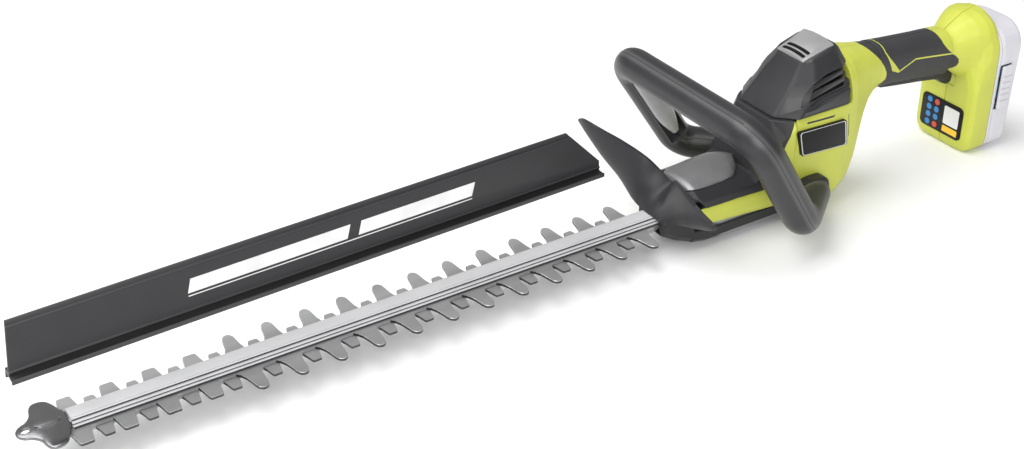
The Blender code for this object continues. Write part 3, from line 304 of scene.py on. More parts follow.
def linked(name, mesh):
    obj = bpy.data.objects.new(name, mesh)
    bpy.context.scene.collection.objects.link(obj)
    return obj


def add(name, bm):
    """Object in the shared frame from a bmesh in design millimetres."""
    bmesh.ops.recalc_face_normals(bm, faces=bm.faces)
    for vert in bm.verts:
        vert.co = place(vert.co)
    mesh = bpy.data.meshes.new(name)
    bm.to_mesh(mesh)
    bm.free()
    return linked(name, mesh)


def baked(obj):
    """Replaces the mesh with what the modifiers make of it."""
    graph = bpy.context.evaluated_depsgraph_get()
    mesh = bpy.data.meshes.new_from_object(obj.evaluated_get(graph))
    obj.modifiers.clear()
    obj.data = mesh
    return obj


def joined(obj, operation, *tools):
    for tool in tools:
        modifier = obj.modifiers.new(operation, "BOOLEAN")
        modifier.operation = operation
        modifier.object = tool
        modifier.solver = "EXACT"
        baked(obj)
        bpy.data.objects.remove(tool, do_unlink=True)
    return obj


def cut(obj, *tools):
    return joined(obj, "DIFFERENCE", *tools)


def unite(obj, *tools):
    return joined(obj, "UNION", *tools)


def keep(obj, *tools):
    return joined(obj, "INTERSECT", *tools)


def loft(rings):
    bm = bmesh.new()
    rows = [[bm.verts.new(p) for p in ring] for ring in rings]
    count = len(rows[0])
    for low, high in zip(rows, rows[1:]):
        for i in range(count):
            j = (i + 1) % count
            bm.faces.new((low[i], low[j], high[j], high[i]))
    bm.faces.new(rows[0][::-1])
    bm.faces.new(rows[-1])
    return bm


def prism(outline, axis, low, high):
    """A flat outline of (a, b) points, pushed along one axis."""
    where = {
        "z": lambda a, b, t: v(a, b, t),
        "y": lambda a, b, t: v(a, t, b),
        "x": lambda a, b, t: v(t, a, b),
    }[axis]
    return loft([[where(a, b, t) for a, b in outline] for t in (low, high)])


def box(x0, x1, y0, y1, z0, z1):
    return prism([(x0, y0), (x1, y0), (x1, y1), (x0, y1)], "z", z0, z1)


def circle(radius, count, cx=0.0, cy=0.0):
    step = 2 * math.pi / count
    return [(cx + radius * math.cos(step * i), cy + radius * math.sin(step * i))
            for i in range(count)]


def cylinder(axis, radius, low, high, ca=0.0, cb=0.0, count=48):
    return prism(circle(radius, count, ca, cb), axis, low, high)


def rounded(a0, a1, b0, b1, radius, steps=6):
    """Outline of a rectangle with round corners."""
    outline = []
    for a, b, start in ((a1, b1, 0), (a0, b1, 90), (a0, b0, 180), (a1, b0, 270)):
        ca = a - radius if a == a1 else a + radius
        cb = b - radius if b == b1 else b + radius
        for i in range(steps + 1):
            angle = math.radians(start + 90 * i / steps)
            outline.append((ca + radius * math.cos(angle), cb + radius * math.sin(angle)))
    return outline


def softened(points, steps=4):
    """Closed outline through the points, rounded between them."""
    out = []
    count = len(points)
    for i in range(count):
        p0, p1, p2, p3 = (Vector(points[(i + k - 1) % count]) for k in range(4))
        for s in range(steps):
            t = s / steps
            out.append(tuple(0.5 * (2 * p1 + (p2 - p0) * t + (2 * p0 - 5 * p1 + 4 * p2 - p3) * t * t
                                    + (3 * p1 - p0 - 3 * p2 + p3) * t ** 3)))
    return out


def beveled(obj, width, segments=3, angle=35):
    modifier = obj.modifiers.new("bevel", "BEVEL")
    modifier.width = width * MM
    modifier.segments = segments
    modifier.limit_method = "ANGLE"
    modifier.angle_limit = math.radians(angle)
    modifier.harden_normals = False
    return baked(obj)


def shaded(obj, angle=38):
    obj.data.shade_smooth()
    obj.data.set_sharp_from_angle(angle=math.radians(angle))
    return obj


def refined(node, name, voxel=0.8, rounds=6, share=0.5):
    """A finer copy of a CAD node, with its facets and edges smoothed into each other."""
    obj = linked(name, frame["nodes"][node].data.copy())
    remesh = obj.modifiers.new("remesh", "REMESH")
    remesh.mode = "VOXEL"
    remesh.voxel_size = voxel * MM
    smooth = obj.modifiers.new("smooth", "SMOOTH")
    smooth.factor = 0.5
    smooth.iterations = rounds
    thin = obj.modifiers.new("thin", "DECIMATE")
    thin.ratio = share
    baked(obj)
    obj.data.shade_smooth()
    return obj


def painted(obj, looks, rule):
    """Gives each face the look whose index the rule returns for its centre and normal."""
    obj.data.materials.clear()
    for each in looks:
        obj.data.materials.append(each)
    for face in obj.data.polygons:
        face.material_index = rule(design(face.center), face.normal)
    return obj


def inside(field, x, z):
    """Whether a point lies in a closed field of (x, z) corners."""
    within = False
    for (x0, z0), (x1, z1) in zip(field, field[1:] + field[:1]):
        if (z0 > z) != (z1 > z) and x < x0 + (x1 - x0) * (z - z0) / (z1 - z0):
            within = not within
    return within


def fielded(obj, looks, fields, wanted=lambda centre, normal: True):
    """Second look inside fields drawn on the side view, whose edges are cut into the mesh."""
    margin = 3
    bm = bmesh.new()
    bm.from_mesh(obj.data)
    for field in fields:
        xs, zs = [x for x, z in field], [z for x, z in field]
        faces = []
        for face in bm.faces:
            middle = design(face.calc_center_median())
            if (min(xs) - margin < middle.x < max(xs) + margin
                    and min(zs) - margin < middle.z < max(zs) + margin):
                faces.append(face)
        geom = list(dict.fromkeys(part for f in faces for part in (*f.verts, *f.edges, f)))
        for (x0, z0), (x1, z1) in zip(field, field[1:] + field[:1]):
            geom = bmesh.ops.bisect_plane(bm, geom=geom, dist=1e-7, plane_co=place(v(x0, 0, z0)),
                                          plane_no=v(z0 - z1, 0, x1 - x0))["geom"]
    bm.to_mesh(obj.data)
    bm.free()

    def rule(centre, normal):
        found = any(inside(field, centre.x, centre.z) for field in fields)
        return 1 if found and wanted(centre, normal) else 0

    painted(obj, looks, rule)
    obj.data.shade_smooth()
    return obj


def piece(obj, body, finish=None, nodes=()):
    """Hangs a finished piece on its body and hides the CAD nodes that it stands for."""
    if finish:
        obj.data.materials.clear()
        obj.data.materials.append(finish)
    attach(obj, body)
    if nodes:
        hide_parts(*nodes)
    return obj


# ---------------------------------------------------------------- blades, bar and tip guard

def blade_outline(teeth, shift):
    """Blade with its teeth in pairs, listed from the root to the tip."""
    near, far = [], []
    for i, tooth in enumerate(teeth):
        x = -PITCH * i + shift
        near = [(x + a, -b) for a, b in tooth] + near
        far = [(x + a, b) for a, b in tooth] + far
    tip = [(BLADE_TIP_X, BLADE_ROOT_HALF), (BLADE_TIP_X, -BLADE_ROOT_HALF)]
    root = [(16.0, -BLADE_HALF), (24.0, -BLADE_ROOT_HALF), (BLADE_ROOT_X, -BLADE_ROOT_HALF),
            (BLADE_ROOT_X, BLADE_ROOT_HALF), (24.0, BLADE_ROOT_HALF), (16.0, BLADE_HALF)]
    return near + root + far[::-1] + tip


def ground_blade(name, outline, low, side):
    """Blade whose teeth are ground to an edge on one face; side is 1 for the top face."""
    high = low + BLADE_THICK
    bm = prism(outline, "z", low, high)
    bmesh.ops.recalc_face_normals(bm, faces=bm.faces)
    face = next(f for f in bm.faces if f.normal.z * side > 0.9)
    ground = [e for e in face.edges
              if min(abs(vert.co.y) for vert in e.verts) > BLADE_HALF + 0.5]
    bmesh.ops.bevel(bm, geom=ground, offset=GRIND_WIDTH, offset_type="OFFSET", segments=1,
                    profile=0.5, affect="EDGES", clamp_overlap=True)
    blade = add(name, bm)
    for x in BOLT_XS:
        slot = rounded(x - 12.2, x + 12.2, -4.2, 4.2, 4.1)
        cut(blade, add("slot", prism(slot, "z", low - 1, high + 1)))

    # Painted shade: the upright sides of the teeth get the near-black steel.
    def rule(centre, normal):
        if abs(centre.y) < BLADE_HALF or abs(normal.z) > 0.97:
            return 0
        return 1 if abs(normal.z) > 0.2 else 2

    return shaded(painted(blade, (STEEL, GROUND, SIDE_SHADE), rule), 12)


def blades():
    teeth = [ROUND_TOOTH if i < ROUND_TEETH else SQUARE_TOOTH for i in range(TOOTH_COUNT)]
    upper = ground_blade("upper_blade_ground", blade_outline(teeth, 0.0), 0.0, 1)
    piece(upper, "upper_blade_set", nodes=["upper_blade"])
    outline = blade_outline([NARROW_TOOTH] * (TOOTH_COUNT - 1), -PITCH / 2 + 1.0)
    lower = ground_blade("lower_blade_ground", outline, -GAP - BLADE_THICK, -1)
    piece(lower, "lower_blade_set", nodes=["lower_blade"])


def guide_bar():
    """Extruded rail with stepped grooves along both slopes."""
    half = [(10.6, BAR_LOW_Z), (10.6, 4.1), (10.2, 4.5), (9.3, 4.7), (8.8, 4.7), (8.8, 5.5),
            (9.0, 6.1), (8.6, 6.6), (7.7, 6.8), (7.1, 6.8), (7.1, 7.7), (7.2, 8.2), (6.6, 8.6),
            (5.9, 8.7), (5.6, 8.2), (5.2, 8.2), (5.0, 8.9), (4.6, 9.0)]
    rings = [[v(x, y, z) for y, z in half] + [v(x, -y, z) for y, z in reversed(half)]
             for x in (BAR_TIP_X, BAR_ROOT_X)]
    bar = add("guide_rail", loft(rings))
    reach = TONGUE_HALF + GAP
    cut(bar, add("rebate", box(BAR_TIP_X - 1, TONGUE_END_X + 0.5, -reach, reach, 0, 7.0)))
    for x in BOLT_XS:
        cut(bar, add("hole", cylinder("z", 2.8, 1.5, 7.6, x, 0.0, 24)))
    cut(bar, add("screw_hole", cylinder("z", 1.9, 4.0, 10.0, 53.0, 0.0, 24)))

    # Painted shade: the upright faces of the two groove steps get the dark steel, and the low side
    # strip and the underside get the near-black steel.
    def rule(centre, normal):
        side = abs(centre.y)
        step = abs(normal.y) > 0.9 and any(abs(side - y) < 0.06 for y in BAR_STEP_YS)
        foot = side > 10.5 and normal.z < 0.3
        return 2 if step else 1 if foot or normal.z < -0.5 else 0

    piece(shaded(painted(bar, (ALLOY, SIDE_SHADE, IRON), rule), 18), "housing",
          nodes=["guide_bar"])


def tip_guard():
    """Pressed plate past the blade tip, swollen in the middle, with a ridge and an eye."""
    half = [(-470.0, 8.0), (-471.8, 12.0), (-474.5, 20.0), (-478.0, 25.5), (-482.5, 27.4),
            (-487.5, 26.6), (-490.5, 22.0), (-492.5, 14.5), (-496.5, 9.5), (-502.0, 6.6),
            (-505.0, 2.4)]
    outline = softened(half + [(x, -y) for x, y in reversed(half)], 5)
    middle = Vector((-483.0, 0.0))
    rings = []
    for share, z in ((0.985, 4.2), (1.0, 4.6), (1.0, 5.9), (0.985, 6.3), (0.95, 6.7),
                     (0.86, 7.1), (0.72, 7.5), (0.5, 7.9)):
        rings.append([v(*(middle + (Vector(p) - middle) * share), z) for p in outline])
    plate = add("tip_plate", loft(rings))
    unite(plate, add("tongue", box(-470.0, TONGUE_END_X, -TONGUE_HALF, TONGUE_HALF, 4.2, 6.7)))
    ridge = [[v(-472.6 - a - lift, b * (1 - 0.12 * lift), 6.3 + lift)
              for a, b in rounded(0.0, 18.0, -4.2, 4.2, 4.0)] for lift in (0.0, 1.2, 2.4)]
    unite(plate, add("ridge", loft(ridge)))
    cut(plate, add("eye", cylinder("z", 3.6, 0, 12, -498.6, 0.0)))
    cut(plate, add("bolt_way", cylinder("z", 2.7, 0, 12, BOLT_XS[0], 0.0, 24)))
    cut(plate, add("bar_room", box(-469.3, -430.0, -12.0, 12.0, 6.72, 12.0)))
    piece(shaded(beveled(plate, 0.35, 2, 30), 50), "housing", PRESSED, ["tip_guard"])


def bolts():
    """Shouldered bolts under the blades, with a hexagon socket in each head."""
    for number, x in enumerate(BOLT_XS, 1):
        profile = [(4.9, -6.5), (5.7, -6.3), (6.3, -5.7), (6.4, -5.1), (6.4, -3.0), (3.8, -3.0),
                   (3.8, 2.2), (2.4, 2.2), (2.4, 7.0)]
        if number == 1:
            profile[6], profile[7], profile[8] = (3.8, 3.9), (2.4, 3.9), (2.4, 6.9)
        rings = [[v(x + a, b, z) for a, b in circle(r, 36)] for r, z in profile]
        bolt = add(f"bolt_{number}", loft(rings))
        cut(bolt, add("socket", cylinder("z", 2.9, -8.0, -4.6, x, 0.0, 6)))
        piece(shaded(bolt, 30), "housing", IRON, [f"blade_bolt_{number}"])


# ---------------------------------------------------------------- front loop handle

def loop_path(step=2.0, stride=5.0):
    """Centre line of the loop from the far anchor to the near anchor, with round corners."""
    def flip(p):
        return v(p.x, -p.y, p.z)

    corners = [LOOP_ANCHOR, LOOP_LOW, LOOP_TOP, flip(LOOP_TOP), flip(LOOP_LOW), flip(LOOP_ANCHOR)]
    radii = [0, 24.0, 20.0, 20.0, 24.0, 0]
    points = [corners[0]]
    for before, corner, after, radius in zip(corners, corners[1:], corners[2:], radii[1:]):
        a, b = (before - corner).normalized(), (after - corner).normalized()
        half = math.acos(max(-1, min(1, a.dot(b)))) / 2
        back = radius / math.tan(half)
        centre = corner + (a + b).normalized() * (radius / math.sin(half))
        start, end = corner + a * back, corner + b * back
        count = max(1, round((start - points[-1]).length / stride))
        first = points[-1]
        points += [first.lerp(start, i / count) for i in range(1, count)]
        turn = (start - centre).angle(end - centre)
        count = max(4, round(radius * turn / step))
        for i in range(count + 1):
            way = (start - centre).normalized().slerp((end - centre).normalized(), i / count)
            points.append(centre + way * radius)
    first = points[-1]
    count = round((corners[-1] - first).length / stride)
    points += [first.lerp(corners[-1], i / count) for i in range(1, count + 1)]
    return points


def loop_frames(points):
    """Position, inward and normal directions along the loop."""
    up = (LOOP_TOP - LOOP_LOW).normalized()
    frames = []
    for i, p in enumerate(points):
        before, after = points[max(i - 1, 0)], points[min(i + 1, len(points) - 1)]
        tangent = (after - before).normalized()
        normal = up.cross(v(0, 1, 0))
        normal = (normal - tangent * normal.dot(tangent)).normalized()
        frames.append((p, tangent.cross(normal), normal))
    return frames


def swept(frames, outline_at):
    return loft([[p + inward * a + normal * b for a, b in outline_at(i)]
                 for i, (p, inward, normal) in enumerate(frames)])


def half_section(side):
    arc = []
    for i in range(21):
        angle = math.radians(180 - 180 * i / 20)
        arc.append((LOOP_R * math.cos(angle), side * max(LOOP_R * math.sin(angle), GAP / 2)))
    return arc


def loop_handle():
    """Two half tubes that meet across the loop, with a groove for the lever inside it."""
    points = loop_path()
    frames = loop_frames(points)
    level = LOOP_LOW.z + LEVER_START * (LOOP_TOP.z - LOOP_LOW.z)
    covered = [i for i, p in enumerate(points) if p.z > level]
    first, last = covered[0], covered[-1]
    groove = rounded(1.0, 18.0, -GROOVE_HALF, GROOVE_HALF, 1.2, 3)
    for name, side, node in (("loop_front", 1, "handle_front_shell"),
                             ("loop_rear", -1, "handle_rear_shell")):
        shell = add(name, swept(frames, lambda i, s=side: half_section(s)))
        cut(shell, add("groove", swept(frames[first:last + 1], lambda i: groove)))
        cut(shell, add("mount_room", box(120, 200, -51.9, 51.9, -30, 40)))
        beveled(shell, 0.45, 2, 50)
        piece(shaded(shell, 30), "housing", LOOP, [node])
    front_lever(frames[first + 2:last - 1])


def front_lever(tips):
    """Paddle in the groove of the loop, which narrows towards both of its ends."""
    section = [(LEVER_BACK, 0.5 - LEVER_HALF), (LEVER_BACK + 0.3, -LEVER_HALF)]
    for i in range(1, 20):
        angle = math.radians(-90 + 180 * i / 20)
        section.append((11.6 + 5.4 * math.cos(angle), LEVER_HALF * math.sin(angle)))
    section += [(LEVER_BACK + 0.3, LEVER_HALF), (LEVER_BACK, LEVER_HALF - 0.5)]
    ramp = 6

    def lever_outline(i):
        end = min(i, len(tips) - 1 - i)
        share = 1.0 if end >= ramp else 0.35 + 0.65 * math.sin(math.pi / 2 * end / ramp)
        return [(LEVER_BACK + (a - LEVER_BACK) * share, b * share) for a, b in section]

    lever = add("loop_lever", swept(tips, lever_outline))
    piece(shaded(lever, 50), "front_lever", PADDLE, ["front_switch_lever"])


# ---------------------------------------------------------------- motor hood and cap

def tower_ring(z, front, rear, half, nose, heel, lean, inset=0.0):
    front, rear, half = front + inset, rear - inset, half - inset
    corners = [(front, -half + nose), (front + nose, -half), (rear - heel, -half),
               (rear, -half + heel), (rear, half - heel), (rear - heel, half),
               (front + nose, half), (front, half - nose)]
    return [v(x, y, z + lean * (x - HOOD_MID_X)) for x, y in corners]


def tower(name, inset):
    return add(name, loft([tower_ring(*row, inset=inset) for row in TOWER]))


def side_cutter(outline, side, depth):
    """Prism over one flank of the hood that stops at the given depth under its skin."""
    cutter = add("cutter", prism(outline, "y", side * 12, side * 48))
    return cut(cutter, tower("core", depth))


def roof(x, height):
    """Height at x under the hood's sloping roof, from the height over HOOD_MID_X."""
    return height + ROOF_LEAN * (x - HOOD_MID_X)


def motor_hood():
    """Faceted hood with a recessed, slotted field on each flank and a pocket for the cap."""
    hood = beveled(tower("hood", 0.0), 2.4, 4, 25)
    inner = [tower_ring(*row, inset=HOOD_WALL) for row in TOWER[:3]]
    drop = [[p - v(0, 0, 3.0) for p in ring] for ring in inner]
    base = [p - v(0, 0, 12.0) for p in drop[0]]
    cut(hood, add("hollow", loft([base] + drop)))
    recess = [(146.0, 84.0), (151.0, 92.5), (160.0, 101.5), (175.0, 107.0), (196.5, 110.0),
              (206.0, 104.0), (206.0, 95.0), (199.0, 92.5), (168.0, 88.5), (157.0, 84.0)]
    pad = [(147.0, 78.5), (149.5, 81.0), (159.5, 81.6), (169.0, 86.2), (197.5, 89.8),
           (194.0, 79.0)]
    for side in (-1, 1):
        cut(hood, side_cutter(recess, side, 2.0))
        for row in range(3):
            x, z = 154.0 + 3.0 * row, 86.6 + 6.6 * row
            slot = [(x, z), (x + 3.0, z + 2.9), (199.0, z + 11.4), (201.5, z + 7.2)]
            cut(hood, side_cutter(slot, side, 5.5))
        plate = add("pad", prism(pad, "y", side * 20, side * 48))
        unite(hood, keep(plate, tower("skin", -0.8)))
    pocket = [(158.5, -16.5), (190.0, -19.0), (190.0, 19.0), (158.5, 16.5)]
    cut(hood, add("pocket", loft([[v(x, y, roof(x, POCKET_Z + lift)) for x, y in pocket]
                                  for lift in (0.0, 9.0)])))
    beveled(hood, 0.5, 2, 30)

    # Painted shade: the floor of the pocket under the cap gets the near-black look.
    def rule(centre, normal):
        under_cap = abs(centre.y) < 20 and centre.z > 112.0 and normal.z > 0.9
        return 1 if under_cap and centre.z < roof(centre.x, POCKET_Z + 0.6) else 0

    piece(shaded(painted(hood, (DARK, SHADE), rule), 32), "housing",
          nodes=["motor_cover"])


def cap():
    """Crowned plate on the hood, with two air slots across its front."""
    rings = []
    for i in range(33):
        y = -1 + i / 16
        lift = 1.9 * (1 - y * y)
        rings.append([v(x, half * y, roof(x, CAP_Z) + base)
                      for x, half, base in ((159.4, 16.0, 0.0), (189.2, 18.4, 0.0),
                                            (189.2, 18.4, 1.7 + lift), (159.4, 16.0, 1.3 + lift))])
    plate = add("hood_cap", loft(rings))
    for x in CAP_SLOT_XS:
        slot = rounded(x, x + CAP_SLOT_WIDTH, -CAP_SLOT_HALF, CAP_SLOT_HALF, 1.4)
        cut(plate, add("slot", prism(slot, "z", 105, 130)))
    beveled(plate, 0.3, 2, 40)

    # Painted shade: the walls of the two air slots get the near-black look.
    def rule(centre, normal):
        across = CAP_SLOT_XS[0] - 0.4 < centre.x < CAP_SLOT_XS[-1] + CAP_SLOT_WIDTH + 0.4
        in_slot = across and abs(centre.y) < CAP_SLOT_HALF + 0.2
        return 1 if in_slot and normal.z < 0.8 else 0

    piece(shaded(painted(plate, (CROWN, SHADE), rule), 40), "housing",
          nodes=["motor_cap"])


# ---------------------------------------------------------------- body, covers and grip

def body():
    """Lime clam shells, with the rubber ends of the grip and two lines of painted shade by the
    plate.
    """
    for name in ("near", "far"):
        shell = refined(f"body_shell_{name}", f"shell_{name}", 0.5, 6, 0.2)
        fielded(shell, (LIME, RUBBER), RUBBER_AND_SHADE_ON_BODY)
        piece(shell, "housing", nodes=[f"body_shell_{name}"])


def covers():
    """Belly cover, the two loop mounts, and the gear cover with its lime flanks."""
    for node, voxel, rounds in (("belly_cover", 0.7, 4), ("handle_mount_near", 0.6, 5),
                                ("handle_mount_far", 0.6, 5)):
        skin = refined(node, f"{node}_skin", voxel, rounds)
        piece(skin, "housing", DARK, [node])

    cover = fielded(refined("gear_cover", "gear_cover_skin", 0.7, 4), (DARK, LIME), LIME_ON_COVER,
                    lambda centre, normal: abs(normal.y) > 0.25 and abs(centre.y) > 27)
    piece(cover, "housing", nodes=["gear_cover"])


def nose_fairing():
    """Smooth rounded hump on the front of the gear cover, pointed at its rear."""
    rows = ((45.5, 29.2, 15.0, 28.9), (46.2, 31.0, 16.6, 29.8), (47.5, 32.4, 18.0, 30.3),
            (51.0, 34.6, 20.0, 30.9), (62.0, 37.2, 21.0, 30.8), (78.0, 39.2, 21.4, 31.1),
            (90.0, 40.6, 20.0, 31.4), (97.0, 41.2, 15.0, 32.3), (101.0, 40.8, 10.0, 33.0),
            (104.4, 39.4, 1.0, 33.8))
    rings = []
    for x, top, half, low in rows:
        angles = [math.pi * i / 40 for i in range(41)]
        rings.append([v(x, half * math.cos(a), low + (top - low) * max(0.0, math.sin(a)) ** 0.9)
                      for a in angles])
    hump = add("fairing", loft(rings))
    # The pale trim look here is a painted sheen; the fairing itself is dark plastic.
    piece(shaded(hump, 50), "housing", TRIM, ["nose_fairing"])


def spline(rows, at):
    """Smooth curve through (station, x, z) rows, read at one station."""
    index = max(i for i, row in enumerate(rows[:-1]) if row[0] <= at)
    (s0, *p0), (s1, *p1) = rows[index], rows[index + 1]
    before = rows[index - 1] if index else (-s1, *p1)
    after = rows[min(len(rows) - 1, index + 2)]
    t = (at - s0) / (s1 - s0)
    point = []
    for k in (0, 1):
        start = (p1[k] - before[k + 1]) / (s1 - before[0]) * (s1 - s0)
        end = (after[k + 1] - p0[k]) / (after[0] - s0) * (s1 - s0)
        point.append((2 * t**3 - 3 * t**2 + 1) * p0[k] + (t**3 - 2 * t**2 + t) * start
                     + (3 * t**2 - 2 * t**3) * p1[k] + (t**3 - t**2) * end)
    return v(point[0], 0, point[1])


def hand_guard():
    """Shield over the blade root; its two wings reach forward and up to a point."""
    lower = ((0.0, 17.5, 9.6), (20.0, 18.3, 10.2), (40.0, 16.9, 21.5), (60.0, 12.0, 33.5),
             (80.0, 10.4, 43.4), (93.0, 9.4, 51.0))
    upper = ((0.0, 41.4, 32.0), (10.0, 36.0, 39.0), (20.0, 26.0, 50.0), (40.0, 16.5, 56.4),
             (60.0, 10.6, 58.0), (80.0, 7.4, 57.4), (93.0, 9.6, 53.4))
    centre = Matrix.Translation(v(0, 0, GUARD_ROLL_Z))
    roll = centre @ Matrix.Rotation(GUARD_ROLL, 4, "X") @ centre.inverted()
    steps = 48
    rings = []
    for i in range(2 * steps + 1):
        y = GUARD_REACH * (i / steps - 1)
        low, high = spline(lower, abs(y)), spline(upper, abs(y))
        along = (high - low).normalized()
        out = v(-along.z, 0, along.x)
        bulge = min(GUARD_WALL, (high - low).length * 0.1)
        front = [low.lerp(high, t) + out * bulge * 4 * t * (1 - t)
                 for t in (0.0, 0.12, 0.25, 0.38, 0.5, 0.62, 0.75, 0.88, 1.0)]
        back = [p - out * GUARD_WALL for p in reversed(front)]
        rings.append([roll @ (p + v(0, y, 0)) for p in front + back])
    guard = add("shield", loft(rings))
    cut(guard, add("cover_room", box(43.7, 80, -31.6, 31.6, -30, 24.2)))
    cut(guard, add("nose_room", box(10, 60, -30, 30, -30, 8.9)))
    cut(guard, add("bar_way", box(10, 75, -11.0, 11.0, 0, 9.4)))
    beveled(guard, 0.6, 3, 45)
    piece(shaded(guard, 40), "housing", DARK, ["hand_guard"])


def grip():
    for name in ("near", "far"):
        skin = refined(f"rear_grip_{name}", f"grip_{name}", 0.5, 4, 1.0)
        fielded(skin, (RUBBER, LIME), LIME_ON_GRIP)
        piece(skin, "housing", nodes=[f"rear_grip_{name}"])
    paddle = refined("trigger", "trigger_paddle", 0.5, 4)
    piece(paddle, "trigger", DARK, ["trigger"])


# ---------------------------------------------------------------- battery and labels

def battery():
    case = refined("battery_case", "pack_case", 0.7, 5, 0.6)
    piece(case, "battery", PACK, ["battery_case"])
    lid = refined("battery_lid", "pack_lid", 0.7, 3, 0.6)
    piece(lid, "battery", PACK, ["battery_lid"])
    for name in ("near", "far"):
        button = refined(f"latch_{name}", f"pack_latch_{name}", 0.3, 3)
        piece(button, f"latch_{name}", PACK, [f"latch_{name}"])


def labels():
    outline = [(140.5, 64.5), (142.0, 66.2), (191.5, 64.2), (193.2, 62.5), (196.6, 41.0),
               (195.0, 39.2), (147.0, 42.4), (145.0, 44.5)]
    middle = Vector((168.5, 53.0))

    def scaled(share):
        return [tuple(middle + (Vector(p) - middle) * share) for p in outline]

    for name, side in (("near", -1), ("far", 1)):
        plate = add(f"plate_{name}", prism(outline, "y", side * 37.0, side * 40.3))
        beveled(plate, 0.6, 3, 40)
        piece(shaded(plate, 40), "housing", LABEL, [f"label_plate_{name}"])
        rim = add(f"plate_rim_{name}", prism(scaled(0.95), "y", side * 40.0, side * 40.45))
        cut(rim, add("inside", prism(scaled(0.92), "y", side * 39.0, side * 42.0)))
        piece(rim, "housing", PRINT)


def dock_label():
    """Blank notice on the front of the dock: plain dots, a pale panel and a coloured strip."""
    front = 354.5
    outline = rounded(-25.0, 25.0, -12.0, 21.0, 5.0)
    sheet = add("dock_label", prism(outline, "x", front - 0.5, front + 1.2))
    piece(shaded(beveled(sheet, 0.3, 2), 40), "housing", LABEL)
    marks = [("dock_panel", rounded(-21.0, -3.0, -1.0, 17.0, 1.2), PRINT),
             ("dock_strip", rounded(-21.0, -3.0, -9.0, -3.0, 0.8), AMBER)]
    for i in range(4):
        z = 16.0 - 7.6 * i
        marks.append((f"dock_dot_{i}_a", circle(2.9, 24, 6.5, z), RED if i in (0, 3) else BLUE))
        marks.append((f"dock_dot_{i}_b", circle(2.9, 24, 15.5, z), BLUE))
    for name, shape, finish in marks:
        mark = add(name, prism(shape, "x", front - 0.75, front - 0.4))
        piece(mark, "housing", finish)


# ---------------------------------------------------------------- debris panel

def panel_solid():
    """Thin upright sheet with a recessed lip on top and a grooved foot that clips over the bar."""
    section = [
        (-8.6, 0.5), (-7.4, 0.5), (-7.2, 2.0), (7.2, 2.0), (7.4, -3.0), (8.8, -3.0), (8.6, 4.4),
        (1.4, 4.8), (1.2, PANEL_HEIGHT), (-0.5, PANEL_HEIGHT), (-0.5, PANEL_HEIGHT - 3.4),
        (-1.7, PANEL_HEIGHT - 3.7), (-1.7, PANEL_HEIGHT - 4.4), (-1.2, PANEL_HEIGHT - 4.8),
        (-1.2, 7.2), (-2.1, 6.6), (-2.3, 6.0), (-2.2, 5.5), (-1.4, 4.8), (-1.4, 3.4), (-7.1, 3.2),
        (-7.5, 3.9), (-8.2, 4.0), (-8.7, 3.6),
    ]
    ends = [[v(PANEL_TIP_X + PANEL_RAKE * z / PANEL_HEIGHT, y, PANEL_FOOT_Z + z)
             for y, z in section],
            [v(PANEL_ROOT_X, y, PANEL_FOOT_Z + z) for y, z in section]]
    panel = add("debris_sheet", loft(ends))
    low, high = PANEL_FOOT_Z + 11, PANEL_FOOT_Z + 70
    slant = [(PANEL_ROOT_X + 0.5, low), (PANEL_ROOT_X + 9, low), (PANEL_ROOT_X + 9, high),
             (PANEL_ROOT_X - 52, high)]
    cut(panel, add("slant", prism(slant, "y", -20, 20)))
    beveled(panel, 0.22, 2, 30)

    # Painted shade: the floor and near wall of the groove in the foot get the near-black look.
    def rule(centre, normal):
        in_groove = -7.5 < centre.y < -1.0 and centre.z - PANEL_FOOT_Z < 5.3
        return 1 if in_groove and (normal.z > 0.5 or normal.y < -0.5) else 0

    return shaded(painted(panel, (DARK, SHADE), rule), 40)


def debris_panel():
    """The panel with three plain printed stripes, leaning as it does when it is off the bar."""
    pieces = [(panel_solid(), None, ["debris_panel"])]
    for number, (x0, x1, z0, z1) in enumerate(PANEL_STRIPES):
        lean = 0.3 * (z1 - z0)
        bar = [(x0, z0), (x1, z0), (x1 + lean, z1), (x0 + lean, z1)]
        stripe = add(f"panel_stripe_{number}",
                     prism([(x, z + PANEL_FOOT_Z) for x, z in bar], "y", -1.45, -1.1))
        pieces.append((stripe, PRINT, []))
    pivot = place(v(PANEL_TIP_X, 0, PANEL_FOOT_Z))
    turn = (Matrix.Translation(pivot) @ Matrix.Rotation(-PANEL_PITCH, 4, "Y")
            @ Matrix.Translation(-pivot))
    for obj, finish, nodes in pieces:
        obj.data.transform(turn)
        piece(obj, "debris_panel", finish, nodes)


# ---------------------------------------------------------------- stage, light and camera

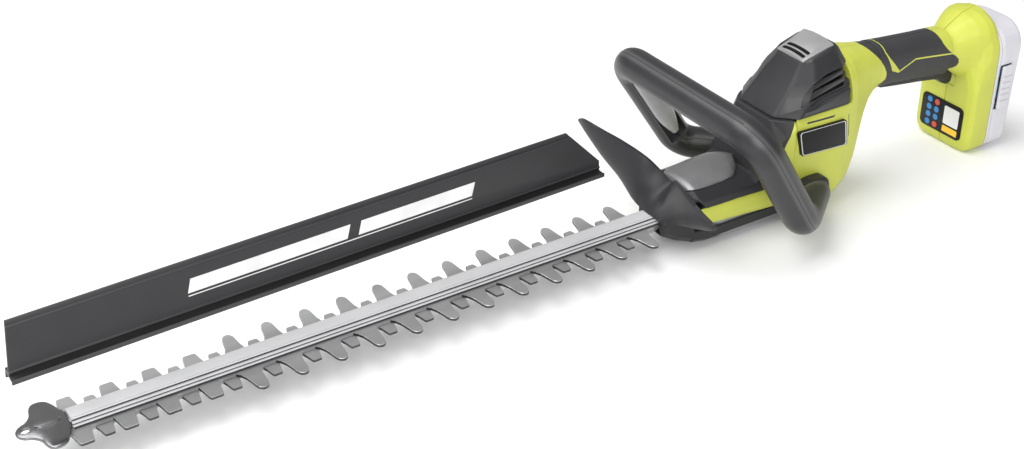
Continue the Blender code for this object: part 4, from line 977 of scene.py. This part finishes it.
def carry_over():
    """Gives every CAD node the finish of its material slot."""
    slots = {part["node"]: part["material_slot"] for part in frame["record"]["subparts"]}
    for name, node in frame["nodes"].items():
        finish = CARRIED[slots[name]]
        node.data.materials.clear()
        node.data.materials.append(finish)


def stage():
    bm = bmesh.new()
    bmesh.ops.create_grid(bm, x_segments=2, y_segments=2, size=6.0)
    mesh = bpy.data.meshes.new("floor")
    bm.to_mesh(mesh)
    bm.free()
    floor = linked("floor", mesh)
    floor.data.materials.append(look("pale_floor", (0.93, 0.93, 0.93), 0.8, vary=0.01, edge_highlight=0.0,
                                     bump=0.0))


def area_light(name, at, aim, size, power):
    data = bpy.data.lights.new(name, "AREA")
    data.shape = "DISK"
    data.size = size
    data.energy = power
    light = linked(name, data)
    light.location = at
    light.rotation_euler = (Vector(aim) - Vector(at)).to_track_quat("-Z", "Y").to_euler()


def lights():
    world = bpy.data.worlds.new("studio")
    world.use_nodes = True
    bpy.context.scene.world = world
    background = world.node_tree.nodes["Background"]
    background.inputs["Color"].default_value = (1.0, 1.0, 1.0, 1.0)
    background.inputs["Strength"].default_value = SKY_STRENGTH
    area_light("key", (-1.1, 0.4, 2.3), (0.0, 0.0, 0.0), 2.8, KEY_POWER)
    area_light("fill", (-1.2, -1.9, 1.2), (0.0, 0.0, 0.05), 1.6, FILL_POWER)


def camera():
    data = bpy.data.cameras.new("camera")
    data.lens = CAMERA_LENS
    data.sensor_width = 36.0
    data.clip_start = 0.01
    obj = linked("camera", data)
    obj.matrix_world = (
        Matrix.Translation(CAMERA_AT)
        @ Matrix.Rotation(math.radians(-CAMERA_AZIMUTH), 4, "Z")
        @ Matrix.Rotation(math.radians(90 - CAMERA_DOWN), 4, "X")
        @ Matrix.Rotation(math.radians(-CAMERA_ROLL), 4, "Z"))
    bpy.context.scene.camera = obj


def main():
    bpy.context.scene.view_settings.view_transform = "Standard"
    camera()
    carry_over()
    blades()
    guide_bar()
    tip_guard()
    bolts()
    loop_handle()
    motor_hood()
    cap()
    body()
    covers()
    nose_fairing()
    hand_guard()
    grip()
    battery()
    labels()
    dock_label()
    debris_panel()
    stage()
    lights()


main()
bpy.context.view_layer.update()
